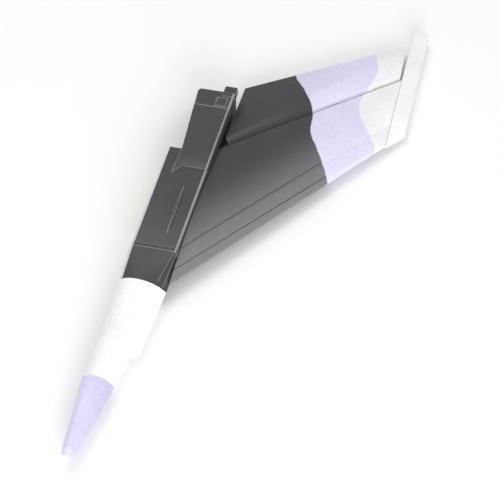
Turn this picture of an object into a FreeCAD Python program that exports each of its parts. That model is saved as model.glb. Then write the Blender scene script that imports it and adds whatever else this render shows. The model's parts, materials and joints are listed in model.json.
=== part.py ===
import FreeCAD, Part
import math
import os

# Port (left) wing panel of a foam radio-control jet, with its long root strake, root fairing,
# full-span elevon, tip rail, servo linkage and joiner sleeves.
# Millimetres.  +X outboard, +Y aft, +Z up.  The origin is the mouth of the main joiner sleeve,
# on the root face.

# ---------------------------------------------------------------- driving dimensions
# overall plan
STRAKE_NOSE_Y = -433.0      # front end of the strake
NOSE_CAP_JOINT_Y = -331.0   # joint between the coloured nose cap and the strake
STRAKE_STEP_Y = -281.0      # where the strake steps out to its full width
FAIRING_FRONT_Y = -191.0    # front end of the dark fairing
LEDGE_END_Y = 22.0          # rear end of the front half of the fairing
TAIL_JOINT_Y = 100.0        # joint between rear cover and tail cap
TAIL_END_Y = 129.0          # rear end of the fairing
RAIL_INNER_X = 254.0        # inboard side of the tip rail
RAIL_WIDTH = 20.0
RAIL_END_Y = 316.0

# wing panel lines: Y at WING_ROOT_X, and how far Y grows for each mm of X
WING_ROOT_X = 50.0
LE_Y, LE_SLOPE = -189.5, 1.442
CREASE_Y, CREASE_SLOPE = -171.7, 1.372
STRIP_Y, STRIP_SLOPE = -140.6, 1.370
HINGE_Y, HINGE_SLOPE = 33.5, 0.950
TE_Y, TE_SLOPE = 147.4, 0.728
ANHEDRAL_DEG = 2.5

# wing half thickness at the root; it shrinks to TIP_THIN of that at the rail
HALF_T_NOSE = 1.6
HALF_T_CREASE = 5.2
HALF_T_STRIP = 9.2
HALF_T_MAX = 12.0
HALF_T_LIP = 7.0
HALF_T_TE = 0.8
TIP_THIN = 0.62

# root fairing and strake
BASE_Z = -22.0              # flat underside that the panel rests on
FLANGE_Z = 7.0              # top of the root flange, and the joint of body and covers
FLANGE_W = 5.5              # how far the root flange stands inboard of the covers
COVER_TOP_Z = 16.0
REAR_TOP_Z = 17.4
COVER_WALL = 1.6
SIDE_X = 57.0               # outboard side of the fairing at FAIRING_FRONT_Y
SIDE_SLOPE = 0.0147
REAR_SIDE_X = 20.5          # inboard side of the rear half at LEDGE_END_Y
REAR_SIDE_SLOPE = -0.06
BAND_Y = -140.3             # centre of the joint band across the fairing
BAND_W = 5.5
BAND_PROUD = 0.5
RIB_X, RIB_Y0, RIB_Y1 = 38.5, -121.0, -37.0
RIB_W, RIB_H = 3.4, 2.6
HATCH_X0, HATCH_X1, HATCH_Y0, HATCH_Y1 = 41.0, 54.0, 102.5, 118.0
HATCH_T = 1.2
TAB_X0, TAB_LEN, TAB_TOP_Z, TAB_T = 45.0, 14.0, 14.5, 8.0

# joiners
MAIN_TUBE_OD, MAIN_TUBE_ID, MAIN_TUBE_LEN = 10.0, 8.1, 118.0
REAR_TUBE_OD, REAR_TUBE_ID, REAR_TUBE_LEN = 6.0, 4.1, 40.0
REAR_TUBE_Y = 82.0
INSERT_OD, INSERT_ID, INSERT_LEN = 4.6, 2.5, 8.0
INSERT_SPACING, INSERT_MID_Y = 54.0, -47.0
RIB_PLATE_T = 3.0
RIB_PLATE_Y0, RIB_PLATE_Y1 = -84.0, 20.0
RIB_PLATE_Z0, RIB_PLATE_Z1 = -17.0, 5.5
SPAR_D = 6.0
SPAR_X0, SPAR_Y0, SPAR_X1, SPAR_Y1 = 66.0, 24.0, 246.0, 154.0
STRAKE_ROD_D = 4.0
STRAKE_ROD_X, STRAKE_ROD_Z = 16.0, -3.0
DOWEL_D, DOWEL_LEN = 4.0, 34.0
DOWEL_YS = (172.0, 205.0)
GLUE_FIT = 0.05             # radial room round anything glued into foam

# elevon and hinges
ELEVON_TRAVEL_DEG = 22.0
WING_FACE = 2.6             # hinge axis to the wing's rear face
ELEVON_FACE = 1.0           # hinge axis to the elevon's front face
ELEVON_FACE_HALF = 2.4
BEVEL_RUN = 8.0
HALF_T_ELEVON = 6.4
ELEVON_GAP_ROOT = 3.5
ELEVON_GAP_TIP, ELEVON_GAP_TIP_TE = 2.6, 4.8
HINGE_XS = (78.0, 136.0, 180.0, 228.0)
LEAF_LEN, LEAF_REACH, LEAF_T = 12.0, 14.0, 1.0
KNUCKLE_R, HINGE_PIN_R, PIN_FIT = 1.8, 0.6, 0.05
KNUCKLE_GAP = 0.3
STIFFENER_W, STIFFENER_T = 6.0, 1.0
STIFFENER_BACK = 18.0

# servo and linkage, in the hinge's own frame: x along the hinge, y aft, z up
SERVO_X = 112.0             # where the linkage plane crosses the hinge
LINK_LEN = 55.0             # servo shaft to hinge axis
SHAFT_Z = -2.2
CRANK_R = 12.0              # servo arm and horn have the same radius
CASE_L, CASE_W, CASE_H = 23.0, 12.0, 16.0
SHAFT_FROM_END = 6.0
GEAR_CASE_H, BASE_H, BOSS_H, BOSS_R = 6.5, 3.0, 1.6, 5.6
CASE_WALL = 1.0
CASE_TOP = -5.5             # outer face of the gear case
TAB_L, TAB_THICK = 4.7, 2.2
SERVO_HOLE_R = 1.1
POCKET_ROOM = 0.4
SHAFT_R = 2.0
ARM_T, ARM_TIP_R, ARM_HUB_R = 1.6, 2.2, 3.4
WIRE_R = 0.75
HOLE_ROOM = 0.1
HORN_T, HORN_LEN = 1.6, 9.0
CLEVIS_LEG_T, CLEVIS_GAP = 1.2, 0.2
OPEN_PIVOT_ROOM = 0.25
COVER_PLATE_T = 1.2
LID_X0, LID_X1, LID_Y0, LID_Y1 = -36.0, 9.0, -80.0, -42.0
LID_TOP_Z = -9.8
LEAD_D = 3.0
PLUG_L, PLUG_W, PLUG_T = 14.0, 8.0, 2.7
LEAD_Y, LEAD_Z = 14.0, -5.0
CHANNEL_ROOM = 1.2          # the lead's channel through the foam is this much wider all round

V = FreeCAD.Vector


# ---------------------------------------------------------------- helpers
def box(x0, x1, y0, y1, z0, z1):
    return Part.makeBox(x1 - x0, y1 - y0, z1 - z0, V(x0, y0, z0))


def cylinder(radius, start, direction, length):
    return Part.makeCylinder(radius, length, V(*start), V(*direction))


def prism(points, z0, z1):
    """A plan outline between two heights."""
    wire = Part.makePolygon([V(x, y, z0) for x, y in points] + [V(points[0][0], points[0][1], z0)])
    return Part.Face(wire).extrude(V(0, 0, z1 - z0))


def side_prism(points, x0, x1):
    """A side outline of (y, z) points between two X values."""
    wire = Part.makePolygon([V(x0, y, z) for y, z in points] + [V(x0, points[0][0], points[0][1])])
    return Part.Face(wire).extrude(V(x1 - x0, 0, 0))


def curve(points):
    spline = Part.BSplineCurve()
    spline.interpolate([V(*p) for p in points])
    return spline.toShape()


def lines(points):
    return [Part.makeLine(V(*a), V(*b)) for a, b in zip(points, points[1:])]


def loft(wires, ruled=True):
    return Part.makeLoft(wires, True, ruled)


def cut_all(shape, tools):
    for tool in tools:
        shape = shape.cut(tool)
    return shape


def one_solid(shape):
    """The largest solid of a result, as a plain solid."""
    solids = sorted(shape.Solids, key=lambda s: s.Volume)
    return solids[-1]


def round_edges(shape, radius, chosen):
    edges = [e for e in shape.Edges if chosen(e)]
    return shape.makeFillet(radius, edges)


def side_x(y):
    """Outboard side of the root fairing."""
    return SIDE_X + (y - FAIRING_FRONT_Y) * SIDE_SLOPE


def rear_side_x(y):
    """Inboard side of the rear half of the fairing."""
    return REAR_SIDE_X + (y - LEDGE_END_Y) * REAR_SIDE_SLOPE


def line_y(x, start, slope):
    return start + (x - WING_ROOT_X) * slope


def thin(x):
    """Wing thickness at x, as a share of that at the root."""
    return 1.0 - (1.0 - TIP_THIN) * (x - WING_ROOT_X) / (RAIL_INNER_X - WING_ROOT_X)


def droop(shape):
    """Turn a piece drawn in the flat wing plane down to the wing's anhedral."""
    turned = shape.copy()
    turned.rotate(V(WING_ROOT_X, 0, 0), V(0, 1, 0), ANHEDRAL_DEG)
    return turned


HINGE_SWEEP = math.degrees(math.atan(HINGE_SLOPE))
Y_PER_MM = 1.0 / math.cos(math.radians(HINGE_SWEEP))


def at_hinge(shape, x):
    """Place a piece drawn in the hinge's own frame at x along the span."""
    placed = shape.copy()
    placed.rotate(V(0, 0, 0), V(0, 0, 1), HINGE_SWEEP)
    placed.translate(V(x, line_y(x, HINGE_Y, HINGE_SLOPE), 0))
    return droop(placed)


def hinge_to_world(x, y, z, station):
    """A point of the hinge's frame at a station, in the part's frame."""
    vertex = at_hinge(Part.Vertex(V(x, y, z)), station)
    return vertex.Point


nodes = {}


# ---------------------------------------------------------------- strake and root body
def strake_section(y, left, right, top, bottom, edge_share=0.45, shoulder=0.16):
    """Closed section at y: upright root side, crowned top that falls away outboard, round underside."""
    span = right - left
    deep = top - bottom
    crest = left + 0.38 * span
    low, high = (left, y, bottom + 0.35 * deep), (left, y, bottom + 0.62 * deep)
    edge = (right, y, bottom + edge_share * deep)
    over = curve([high, (left + 0.10 * span, y, top - 0.12 * deep), (crest, y, top),
                  (left + 0.75 * span, y, top - shoulder * deep), edge])
    under = curve([edge, (left + 0.72 * span, y, bottom + 0.08 * deep), (crest, y, bottom + 0.01 * deep), low])
    return Part.Wire([Part.makeLine(V(*low), V(*high)), over, under])


def keel_edge(edge):
    ends = [v.Point for v in edge.Vertexes]
    if len(ends) < 2:
        return False
    return all(abs(p.z - BASE_Z) < 0.01 for p in ends) and abs(ends[0].y - ends[1].y) > 20


FRONT_BODY_Y = BAND_Y - BAND_W / 2      # rear end of the front cover
FRONT_SIDE_X = side_x(FAIRING_FRONT_Y)
nose_end = strake_section(STRAKE_NOSE_Y, 8.5, 21.0, 3.0, -8.0)
nose_near = strake_section(STRAKE_NOSE_Y + 7, 6.5, 23.0, 5.0, -10.5)
nose_joint = strake_section(NOSE_CAP_JOINT_Y, 0.0, 36.5, 10.0, -16.0)
step_front = strake_section(STRAKE_STEP_Y, 0.0, 44.0, 12.0, -19.0)
step_rear = strake_section(STRAKE_STEP_Y, 0.0, 50.5, 12.6, -20.0)
fairing_front = strake_section(FAIRING_FRONT_Y, 0.0, FRONT_SIDE_X, COVER_TOP_Z - 1.0, BASE_Z, 0.58, 0.12)
fairing_mid = strake_section(FRONT_BODY_Y, 0.0, side_x(FRONT_BODY_Y), COVER_TOP_Z, BASE_Z, 0.64, 0.07)

rod_y0 = STRAKE_NOSE_Y + 40
rod_len = FAIRING_FRONT_Y + 60 - rod_y0
nodes["strake_stiffener_rod"] = cylinder(STRAKE_ROD_D / 2, (STRAKE_ROD_X, rod_y0, STRAKE_ROD_Z), (0, 1, 0), rod_len)
rod_hole = cylinder(STRAKE_ROD_D / 2 + GLUE_FIT, (STRAKE_ROD_X, rod_y0 - 1, STRAKE_ROD_Z), (0, 1, 0), rod_len + 2)

nose_cap = loft([nose_end, nose_near]).fuse(loft([nose_near, nose_joint]))
nodes["strake_nose_cap"] = one_solid(nose_cap.cut(rod_hole))
nodes["strake_fore_section"] = one_solid(loft([nose_joint, step_front]).cut(rod_hole))

strake_mid = loft([step_rear, fairing_front])
front_full = loft([fairing_front, fairing_mid])
flange_front = box(0, FLANGE_W, FAIRING_FRONT_Y, FRONT_BODY_Y, BASE_Z + 8, FLANGE_Z)
body_front = front_full.common(box(-1, 80, FAIRING_FRONT_Y - 1, FRONT_BODY_Y + 1, BASE_Z - 1, FLANGE_Z))
body_main = prism([(0, FRONT_BODY_Y), (side_x(FRONT_BODY_Y), FRONT_BODY_Y),
                   (side_x(LEDGE_END_Y), LEDGE_END_Y), (0, LEDGE_END_Y)], BASE_Z, FLANGE_Z)
body_rear = prism([(rear_side_x(LEDGE_END_Y), LEDGE_END_Y), (side_x(LEDGE_END_Y), LEDGE_END_Y),
                   (side_x(TAIL_END_Y), TAIL_END_Y), (rear_side_x(TAIL_END_Y), TAIL_END_Y)],
                  BASE_Z, FLANGE_Z)
KEEL_R = 6.0
body_main = round_edges(body_main, KEEL_R, keel_edge)
body_rear = round_edges(body_rear, KEEL_R, keel_edge)


def keel_blend(front, rear, rear_y):
    """What is cut off a lower corner of the squared body, so that the round strake runs into it."""
    wires = [Part.makePolygon([V(x, y, z) for x, z in points + points[:1]])
             for y, points in ((FRONT_BODY_Y - 0.01, front), (rear_y, rear))]
    return loft(wires)


OUT_BLEND_Y, IN_BLEND_Y = -45.0, RIB_PLATE_Y0 - 2.0
edge_x = side_x(FRONT_BODY_Y)
out_x = side_x(OUT_BLEND_Y)
outboard_blend = keel_blend(
    [(edge_x + 3, 2.3), (edge_x, 2.3), (edge_x - 5.5, -11.0), (edge_x - 15.5, -18.5), (edge_x - 32, BASE_Z),
     (edge_x - 32, BASE_Z - 3), (edge_x + 3, BASE_Z - 3)],
    [(out_x + 3, BASE_Z + 1), (out_x + 0.3, BASE_Z + 1), (out_x - 0.1, BASE_Z + 0.6), (out_x - 0.6, BASE_Z + 0.2),
     (out_x - 1, BASE_Z), (out_x - 1, BASE_Z - 3), (out_x + 3, BASE_Z - 3)], OUT_BLEND_Y)
inboard_blend = keel_blend(
    [(-3, -8.7), (0, -8.7), (2.6, -14.5), (8, -19.0), (21, BASE_Z), (21, BASE_Z - 3), (-3, BASE_Z - 3)],
    [(-3, BASE_Z + 1), (-0.3, BASE_Z + 1), (0.1, BASE_Z + 0.6), (0.6, BASE_Z + 0.2), (1, BASE_Z), (1, BASE_Z - 3),
     (-3, BASE_Z - 3)], IN_BLEND_Y)
body_main = cut_all(body_main, [outboard_blend, inboard_blend])

main_tube_hole = cylinder(MAIN_TUBE_OD / 2 + GLUE_FIT, (-1, 0, 0), (1, 0, 0), MAIN_TUBE_LEN + 1)
rear_tube_x = rear_side_x(REAR_TUBE_Y)
rear_tube_hole = cylinder(REAR_TUBE_OD / 2 + GLUE_FIT, (rear_tube_x - 5, REAR_TUBE_Y, 0), (1, 0, 0),
                          REAR_TUBE_LEN + 5)
rib_pocket = box(-1, RIB_PLATE_T, RIB_PLATE_Y0, RIB_PLATE_Y1, RIB_PLATE_Z0, RIB_PLATE_Z1)
insert_ys = (INSERT_MID_Y - INSERT_SPACING / 2, INSERT_MID_Y + INSERT_SPACING / 2)
insert_holes = [cylinder(INSERT_OD / 2 + GLUE_FIT, (-1, y, 0), (1, 0, 0), INSERT_LEN + 1) for y in insert_ys]
plug_room = box(-1, PLUG_L + GLUE_FIT, LEAD_Y - PLUG_W / 2 - GLUE_FIT, LEAD_Y + PLUG_W / 2 + GLUE_FIT,
                LEAD_Z - PLUG_T / 2 - GLUE_FIT, LEAD_Z + PLUG_T / 2 + GLUE_FIT)

strake_body = strake_mid.fuse([body_front, flange_front, body_main])

# ---------------------------------------------------------------- servo lead, plug to servo
def tangent_path(points, share=0.45):
    """Straight runs joined by tangent arcs through hand-picked corner points."""
    pts = [V(*p) for p in points]
    edges = []
    start = pts[0]
    for before, corner, after in zip(pts, pts[1:], pts[2:]):
        to_back = (before - corner).normalize()
        to_next = (after - corner).normalize()
        set_back = share * min((before - corner).Length, (after - corner).Length)
        arc_start = corner + to_back * set_back
        arc_end = corner + to_next * set_back
        half_turn = (math.pi - to_back.getAngle(to_next)) / 2
        radius = set_back / math.tan(half_turn)
        centre = corner + (to_back + to_next).normalize() * (radius / math.cos(half_turn))
        arc_mid = centre + (corner - centre).normalize() * radius
        print("lead bend radius", round(radius, 1))
        edges.append(Part.makeLine(start, arc_start))
        edges.append(Part.Arc(arc_start, arc_mid, arc_end).toShape())
        start = arc_end
    edges.append(Part.makeLine(start, pts[-1]))
    return Part.Wire(edges)


def tube_along(path, radius):
    first = path.Edges[0]
    start = first.Vertexes[0].Point
    circle = Part.Wire(Part.makeCircle(radius, start, first.tangentAt(first.FirstParameter)))
    return path.makePipeShell([circle], True, True)


BASE_X = CASE_TOP - GEAR_CASE_H - CASE_H - BASE_H       # outer face of the servo's base cover
LEAD_EXIT_Y = -LINK_LEN - 12.0
lead_end = hinge_to_world(BASE_X, LEAD_EXIT_Y, SHAFT_Z - 1.0, SERVO_X)
lead_bend = hinge_to_world(BASE_X - 14.0, LEAD_EXIT_Y, SHAFT_Z - 1.0, SERVO_X)
lead_route = [(PLUG_L, LEAD_Y, LEAD_Z), (44.0, LEAD_Y, LEAD_Z), (78.0, 11.0, LEAD_Z - 0.8),
              (lead_bend.x, lead_bend.y, lead_bend.z), (lead_end.x, lead_end.y, lead_end.z)]
lead_path = tangent_path(lead_route)
nodes["servo_lead"] = tube_along(lead_path, LEAD_D / 2)


def channel_run(start, end):
    """A square channel through the foam round one straight run of the lead."""
    start, end = V(*start), V(*end)
    half = LEAD_D / 2 + CHANNEL_ROOM
    run = box(-half, (end - start).Length + half, -half, half, -half, half)
    run.Placement = FreeCAD.Placement(start, FreeCAD.Rotation(V(1, 0, 0), end - start))
    return run


channel = [channel_run(a, b) for a, b in zip(lead_route, lead_route[1:])]
print("lead length", round(lead_path.Length, 1), "volume ratio",
      round(nodes["servo_lead"].Volume / (math.pi * (LEAD_D / 2) ** 2 * lead_path.Length), 4))
nodes["lead_plug"] = box(0, PLUG_L, LEAD_Y - PLUG_W / 2, LEAD_Y + PLUG_W / 2,
                         LEAD_Z - PLUG_T / 2, LEAD_Z + PLUG_T / 2)
contact_slots = [box(-1, 6, y - 0.5, y + 0.5, LEAD_Z - 0.5, LEAD_Z + 0.5)
                 for y in (LEAD_Y - 2.54, LEAD_Y, LEAD_Y + 2.54)]
nodes["lead_plug"] = cut_all(nodes["lead_plug"], contact_slots)

nodes["strake_and_root_body"] = one_solid(cut_all(
    strake_body, [rod_hole, main_tube_hole, rib_pocket, plug_room] + channel + insert_holes))
nodes["rear_root_body"] = one_solid(body_rear.cut(rear_tube_hole))

# ---------------------------------------------------------------- root rib, joiners, inserts
rib_plate = box(0, RIB_PLATE_T, RIB_PLATE_Y0, RIB_PLATE_Y1, RIB_PLATE_Z0, RIB_PLATE_Z1)
nodes["root_rib_plate"] = cut_all(rib_plate, [main_tube_hole, plug_room] + insert_holes)


def tube(outer_d, inner_d, start, length):
    outer = cylinder(outer_d / 2, start, (1, 0, 0), length)
    inner = cylinder(inner_d / 2, (start[0] - 1, start[1], start[2]), (1, 0, 0), length + 2)
    return outer.cut(inner)


nodes["main_joiner_sleeve"] = tube(MAIN_TUBE_OD, MAIN_TUBE_ID, (0, 0, 0), MAIN_TUBE_LEN)
nodes["rear_joiner_sleeve"] = tube(REAR_TUBE_OD, REAR_TUBE_ID, (rear_tube_x, REAR_TUBE_Y, 0), REAR_TUBE_LEN)
nodes["root_screw_inserts"] = Part.makeCompound(
    [cylinder(INSERT_OD / 2, (0, y, 0), (1, 0, 0), INSERT_LEN).cut(
        cylinder(INSERT_ID / 2, (-1, y, 0), (1, 0, 0), INSERT_LEN + 2)) for y in insert_ys])

# ---------------------------------------------------------------- fairing covers
def top_edge(z, x_test):
    def chosen(edge):
        ends = [v.Point for v in edge.Vertexes]
        if len(ends) < 2:
            return False
        flat = all(abs(p.z - z) < 0.01 for p in ends)
        along = abs(ends[0].y - ends[1].y) > 10
        return flat and along and x_test((ends[0].x + ends[1].x) / 2)
    return chosen


def cover(outline, inner, top, shoulder):
    """A hollow cover from a plan outline, open underneath, with a round outboard shoulder."""
    outer = prism(outline, FLANGE_Z, top)
    outer = round_edges(outer, shoulder, top_edge(top, lambda x: x > 50))
    outer = round_edges(outer, 1.2, top_edge(top, lambda x: x < 25))
    return outer.cut(prism(inner, FLANGE_Z - 1, top - COVER_WALL))


front_upper = front_full.common(box(FLANGE_W, 80, FAIRING_FRONT_Y, FRONT_BODY_Y, FLANGE_Z, COVER_TOP_Z + 1))
front_cavity = prism([(FLANGE_W + COVER_WALL + 6, FAIRING_FRONT_Y + COVER_WALL), (40, FAIRING_FRONT_Y + COVER_WALL),
                      (46, FRONT_BODY_Y - COVER_WALL), (FLANGE_W + COVER_WALL + 6, FRONT_BODY_Y - COVER_WALL)],
                     FLANGE_Z - 1, COVER_TOP_Z - COVER_WALL - 2.5)
nodes["fairing_front_cover"] = one_solid(front_upper.cut(front_cavity))

BAND_REAR_Y = BAND_Y + BAND_W / 2
band = prism([(FLANGE_W, FRONT_BODY_Y), (side_x(FRONT_BODY_Y), FRONT_BODY_Y), (side_x(BAND_REAR_Y), BAND_REAR_Y),
              (FLANGE_W, BAND_REAR_Y)], FLANGE_Z, COVER_TOP_Z + BAND_PROUD)
band = band.makeFillet(5.0, [e for e in band.Edges if all(
    v.Point.x > 50 and v.Point.z > COVER_TOP_Z for v in e.Vertexes)])
nodes["fairing_joint_band"] = band

REAR_STEP = [(19.0, -19.0), (30.0, -7.0)]       # oblique front edge of the raised rear cover
main_outline = [(FLANGE_W, BAND_REAR_Y), (side_x(BAND_REAR_Y), BAND_REAR_Y),
                (side_x(REAR_STEP[1][1]), REAR_STEP[1][1]), REAR_STEP[1], REAR_STEP[0],
                (rear_side_x(LEDGE_END_Y), LEDGE_END_Y), (FLANGE_W, LEDGE_END_Y)]
w = COVER_WALL
main_inner = [(FLANGE_W + w, BAND_REAR_Y + w), (side_x(BAND_REAR_Y) - 4 * w, BAND_REAR_Y + w),
              (side_x(REAR_STEP[1][1]) - 4 * w, REAR_STEP[1][1] - w), (REAR_STEP[1][0], REAR_STEP[1][1] - w),
              (REAR_STEP[0][0] - w, REAR_STEP[0][1] - w), (rear_side_x(LEDGE_END_Y) - w, LEDGE_END_Y - w),
              (FLANGE_W + w, LEDGE_END_Y - w)]
main_cover = cover(main_outline, main_inner, COVER_TOP_Z, 5.0)
nodes["fairing_main_cover"] = one_solid(main_cover)

# a slim raised rib, pointed at both ends
rib_mid = (RIB_Y0 + RIB_Y1) / 2
arc_right = Part.Arc(V(RIB_X, RIB_Y0, COVER_TOP_Z), V(RIB_X + RIB_W / 2, rib_mid, COVER_TOP_Z),
                     V(RIB_X, RIB_Y1, COVER_TOP_Z)).toShape()
arc_left = Part.Arc(V(RIB_X, RIB_Y1, COVER_TOP_Z), V(RIB_X - RIB_W / 2, rib_mid, COVER_TOP_Z),
                    V(RIB_X, RIB_Y0, COVER_TOP_Z)).toShape()
rib_plan = Part.Face(Part.Wire([arc_right, arc_left])).extrude(V(0, 0, RIB_H))
rib_slope = side_prism([(RIB_Y0, COVER_TOP_Z), (RIB_Y0 + 14, COVER_TOP_Z + RIB_H), (RIB_Y1 - 14, COVER_TOP_Z + RIB_H),
                        (RIB_Y1, COVER_TOP_Z)], RIB_X - RIB_W, RIB_X + RIB_W)
nodes["fairing_rib"] = one_solid(rib_plan.common(rib_slope))


def rear_outline(y0, y1, inset):
    return [(rear_side_x(y0) + inset, y0 + inset), (side_x(y0) - 3 * inset, y0 + inset),
            (side_x(y1) - 3 * inset, y1 - inset), (rear_side_x(y1) + inset, y1 - inset)]


front_y = REAR_STEP[1][1]
rear_points = [REAR_STEP[0], REAR_STEP[1], (side_x(front_y), front_y), (side_x(TAIL_JOINT_Y), TAIL_JOINT_Y),
               (rear_side_x(TAIL_JOINT_Y), TAIL_JOINT_Y), (rear_side_x(LEDGE_END_Y), LEDGE_END_Y)]
rear_inner = [(REAR_STEP[0][0] + 2 * w, REAR_STEP[0][1] + 5 * w), (REAR_STEP[1][0], front_y + 3 * w),
              (side_x(front_y) - 4 * w, front_y + 3 * w), (side_x(TAIL_JOINT_Y) - 4 * w, TAIL_JOINT_Y - w),
              (rear_side_x(TAIL_JOINT_Y) + w, TAIL_JOINT_Y - w), (rear_side_x(LEDGE_END_Y) + w, LEDGE_END_Y)]
rear_cover = prism(rear_points, FLANGE_Z, REAR_TOP_Z)
RAMP_LEN = 20.0
ramp = side_prism([(REAR_STEP[0][1] - 3, COVER_TOP_Z), (front_y + RAMP_LEN, REAR_TOP_Z),
                   (front_y + RAMP_LEN, REAR_TOP_Z + 5), (REAR_STEP[0][1] - 3, REAR_TOP_Z + 5)], 0, 90)
rear_cover = rear_cover.cut(ramp)
rear_cover = round_edges(rear_cover, 5.0, top_edge(REAR_TOP_Z, lambda x: x > 50))
high_cavity = prism([(rear_side_x(LEDGE_END_Y) + w, front_y + RAMP_LEN), (side_x(front_y) - 4 * w, front_y + RAMP_LEN),
                     (side_x(TAIL_JOINT_Y) - 4 * w, TAIL_JOINT_Y - w), (rear_side_x(TAIL_JOINT_Y) + w + 1.6, TAIL_JOINT_Y - w)],
                    FLANGE_Z, REAR_TOP_Z - w)
nodes["fairing_rear_cover"] = one_solid(cut_all(
    rear_cover, [prism(rear_inner, FLANGE_Z - 1, COVER_TOP_Z - w), high_cavity]))

tail = prism(rear_outline(TAIL_JOINT_Y, TAIL_END_Y, 0), FLANGE_Z, REAR_TOP_Z)
tail = round_edges(tail, 5.0, top_edge(REAR_TOP_Z, lambda x: x > 50))
tail_corner = [e for e in tail.Edges if abs(e.Vertexes[0].Point.x - rear_side_x(TAIL_END_Y)) < 0.01
               and abs(e.Vertexes[-1].Point.x - rear_side_x(TAIL_END_Y)) < 0.01 and len(e.Vertexes) == 2]
tail = tail.makeFillet(5.0, tail_corner)
tail = tail.cut(prism(rear_outline(TAIL_JOINT_Y, TAIL_END_Y, 1.6 * w), FLANGE_Z - 1, REAR_TOP_Z - 2 * w))
hatch_seat = box(HATCH_X0, HATCH_X1, HATCH_Y0, HATCH_Y1, REAR_TOP_Z - HATCH_T, REAR_TOP_Z + 1)
hatch_opening = box(HATCH_X0 + 1.5, HATCH_X1 - 1.5, HATCH_Y0 + 1.5, HATCH_Y1 - 1.5, FLANGE_Z, REAR_TOP_Z)
nodes["fairing_tail_cap"] = one_solid(cut_all(tail, [hatch_seat, hatch_opening]))
HATCH_FIT = 0.3
hatch = box(HATCH_X0 + HATCH_FIT, HATCH_X1 - HATCH_FIT, HATCH_Y0 + HATCH_FIT, HATCH_Y1 - HATCH_FIT,
            REAR_TOP_Z - HATCH_T, REAR_TOP_Z + 0.2)
hatch_lip = box(HATCH_X0 + 1.5 + HATCH_FIT, HATCH_X1 - 1.5 - HATCH_FIT, HATCH_Y0 + 1.5 + HATCH_FIT,
                HATCH_Y1 - 1.5 - HATCH_FIT, REAR_TOP_Z - HATCH_T - 1.2, REAR_TOP_Z - HATCH_T)
nodes["hatch_cover"] = hatch.fuse(hatch_lip).removeSplitter()
tab_x1 = side_x(TAIL_END_Y) - 0.5
tab = box(TAB_X0, tab_x1, TAIL_END_Y, TAIL_END_Y + TAB_LEN, TAB_TOP_Z - TAB_T, TAB_TOP_Z)
tab = tab.makeFillet(2.5, [e for e in tab.Edges if all(v.Point.y > TAIL_END_Y + TAB_LEN - 0.1 for v in e.Vertexes)
                           and e.Vertexes[0].Point.z != e.Vertexes[1].Point.z])
nodes["tail_tab"] = tab

# ---------------------------------------------------------------- wing panel
def wing_station(x):
    """Chordwise places at x: leading edge, crease, strip joint, rear face, trailing edge."""
    face = line_y(x, HINGE_Y, HINGE_SLOPE) - WING_FACE * Y_PER_MM
    return (line_y(x, LE_Y, LE_SLOPE), line_y(x, CREASE_Y, CREASE_SLOPE), line_y(x, STRIP_Y, STRIP_SLOPE), face)


def strip_section(x):
    le, crease, strip, face = wing_station(x)
    k = thin(x)
    top = [(x, le + 2.0 * k, HALF_T_NOSE * 1.35 * k), (x, crease, HALF_T_CREASE * k), (x, strip, HALF_T_STRIP * k)]
    low = [(x, y, -z) for _, y, z in reversed(top)]
    nose = Part.Arc(V(*low[-1]), V(x, le, 0), V(*top[0])).toShape()
    return Part.Wire(lines(top + low) + [nose])


def core_section(x):
    le, crease, strip, face = wing_station(x)
    k = thin(x)
    run = face - strip
    shape = [(0.0, HALF_T_STRIP), (0.2, 0.955 * HALF_T_MAX), (0.42, HALF_T_MAX), (0.72, 0.86 * HALF_T_MAX),
             (1.0, HALF_T_LIP)]
    top = [(x, strip + share * run, half * k) for share, half in shape]
    low = [(x, y, -z) for _, y, z in reversed(top)]
    return Part.Wire([curve(top), Part.makeLine(V(*top[-1]), V(*low[0])), curve(low),
                      Part.makeLine(V(*low[-1]), V(*top[0]))])


def elevon_section(x):
    hinge = line_y(x, HINGE_Y, HINGE_SLOPE)
    k = thin(x)
    te = line_y(x, TE_Y, TE_SLOPE)
    top = [(x, hinge + ELEVON_FACE * Y_PER_MM, ELEVON_FACE_HALF * k),
           (x, hinge + BEVEL_RUN * Y_PER_MM, HALF_T_ELEVON * k), (x, te, HALF_T_TE)]
    low = [(x, y, -z) for _, y, z in reversed(top)]
    return Part.makePolygon([V(*p) for p in top + low + top[:1]])


LOFT_X0, LOFT_X1 = WING_ROOT_X - 5, RAIL_INNER_X + 4
root_cut = prism([(-10, -300), (side_x(-300), -300), (side_x(300), 300), (-10, 300)], -60, 60)
rail_cut = box(RAIL_INNER_X, RAIL_INNER_X + 60, -100, 400, -60, 60)
strip = droop(loft([strip_section(LOFT_X0), strip_section(LOFT_X1)]))
nodes["leading_edge_strip"] = one_solid(cut_all(strip, [root_cut, rail_cut]))
core = cut_all(droop(loft([core_section(LOFT_X0), core_section(LOFT_X1)])), [root_cut, rail_cut])
elevon = droop(loft([elevon_section(LOFT_X0), elevon_section(LOFT_X1)]))

# ---------------------------------------------------------------- tip rail
rail_lead = LE_Y + (RAIL_INNER_X - WING_ROOT_X) * LE_SLOPE
rail_tip_z = -(RAIL_INNER_X + RAIL_WIDTH / 2 - WING_ROOT_X) * math.tan(math.radians(ANHEDRAL_DEG))
RAIL_TOP_Z = -2.0
rail_side = [(rail_lead - 1, rail_tip_z + 1.8), (rail_lead + 55, RAIL_TOP_Z), (RAIL_END_Y, RAIL_TOP_Z),
             (RAIL_END_Y, BASE_Z), (rail_lead + 62, BASE_Z), (rail_lead + 34, BASE_Z + 4), (rail_lead - 1, rail_tip_z - 3.0)]
rail = side_prism(rail_side, RAIL_INNER_X, RAIL_INNER_X + RAIL_WIDTH)
le_wall = prism([(200, line_y(200, LE_Y, LE_SLOPE)), (320, line_y(320, LE_Y, LE_SLOPE)), (320, -300), (200, -300)], -60, 60)
rail = rail.cut(le_wall)
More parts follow.
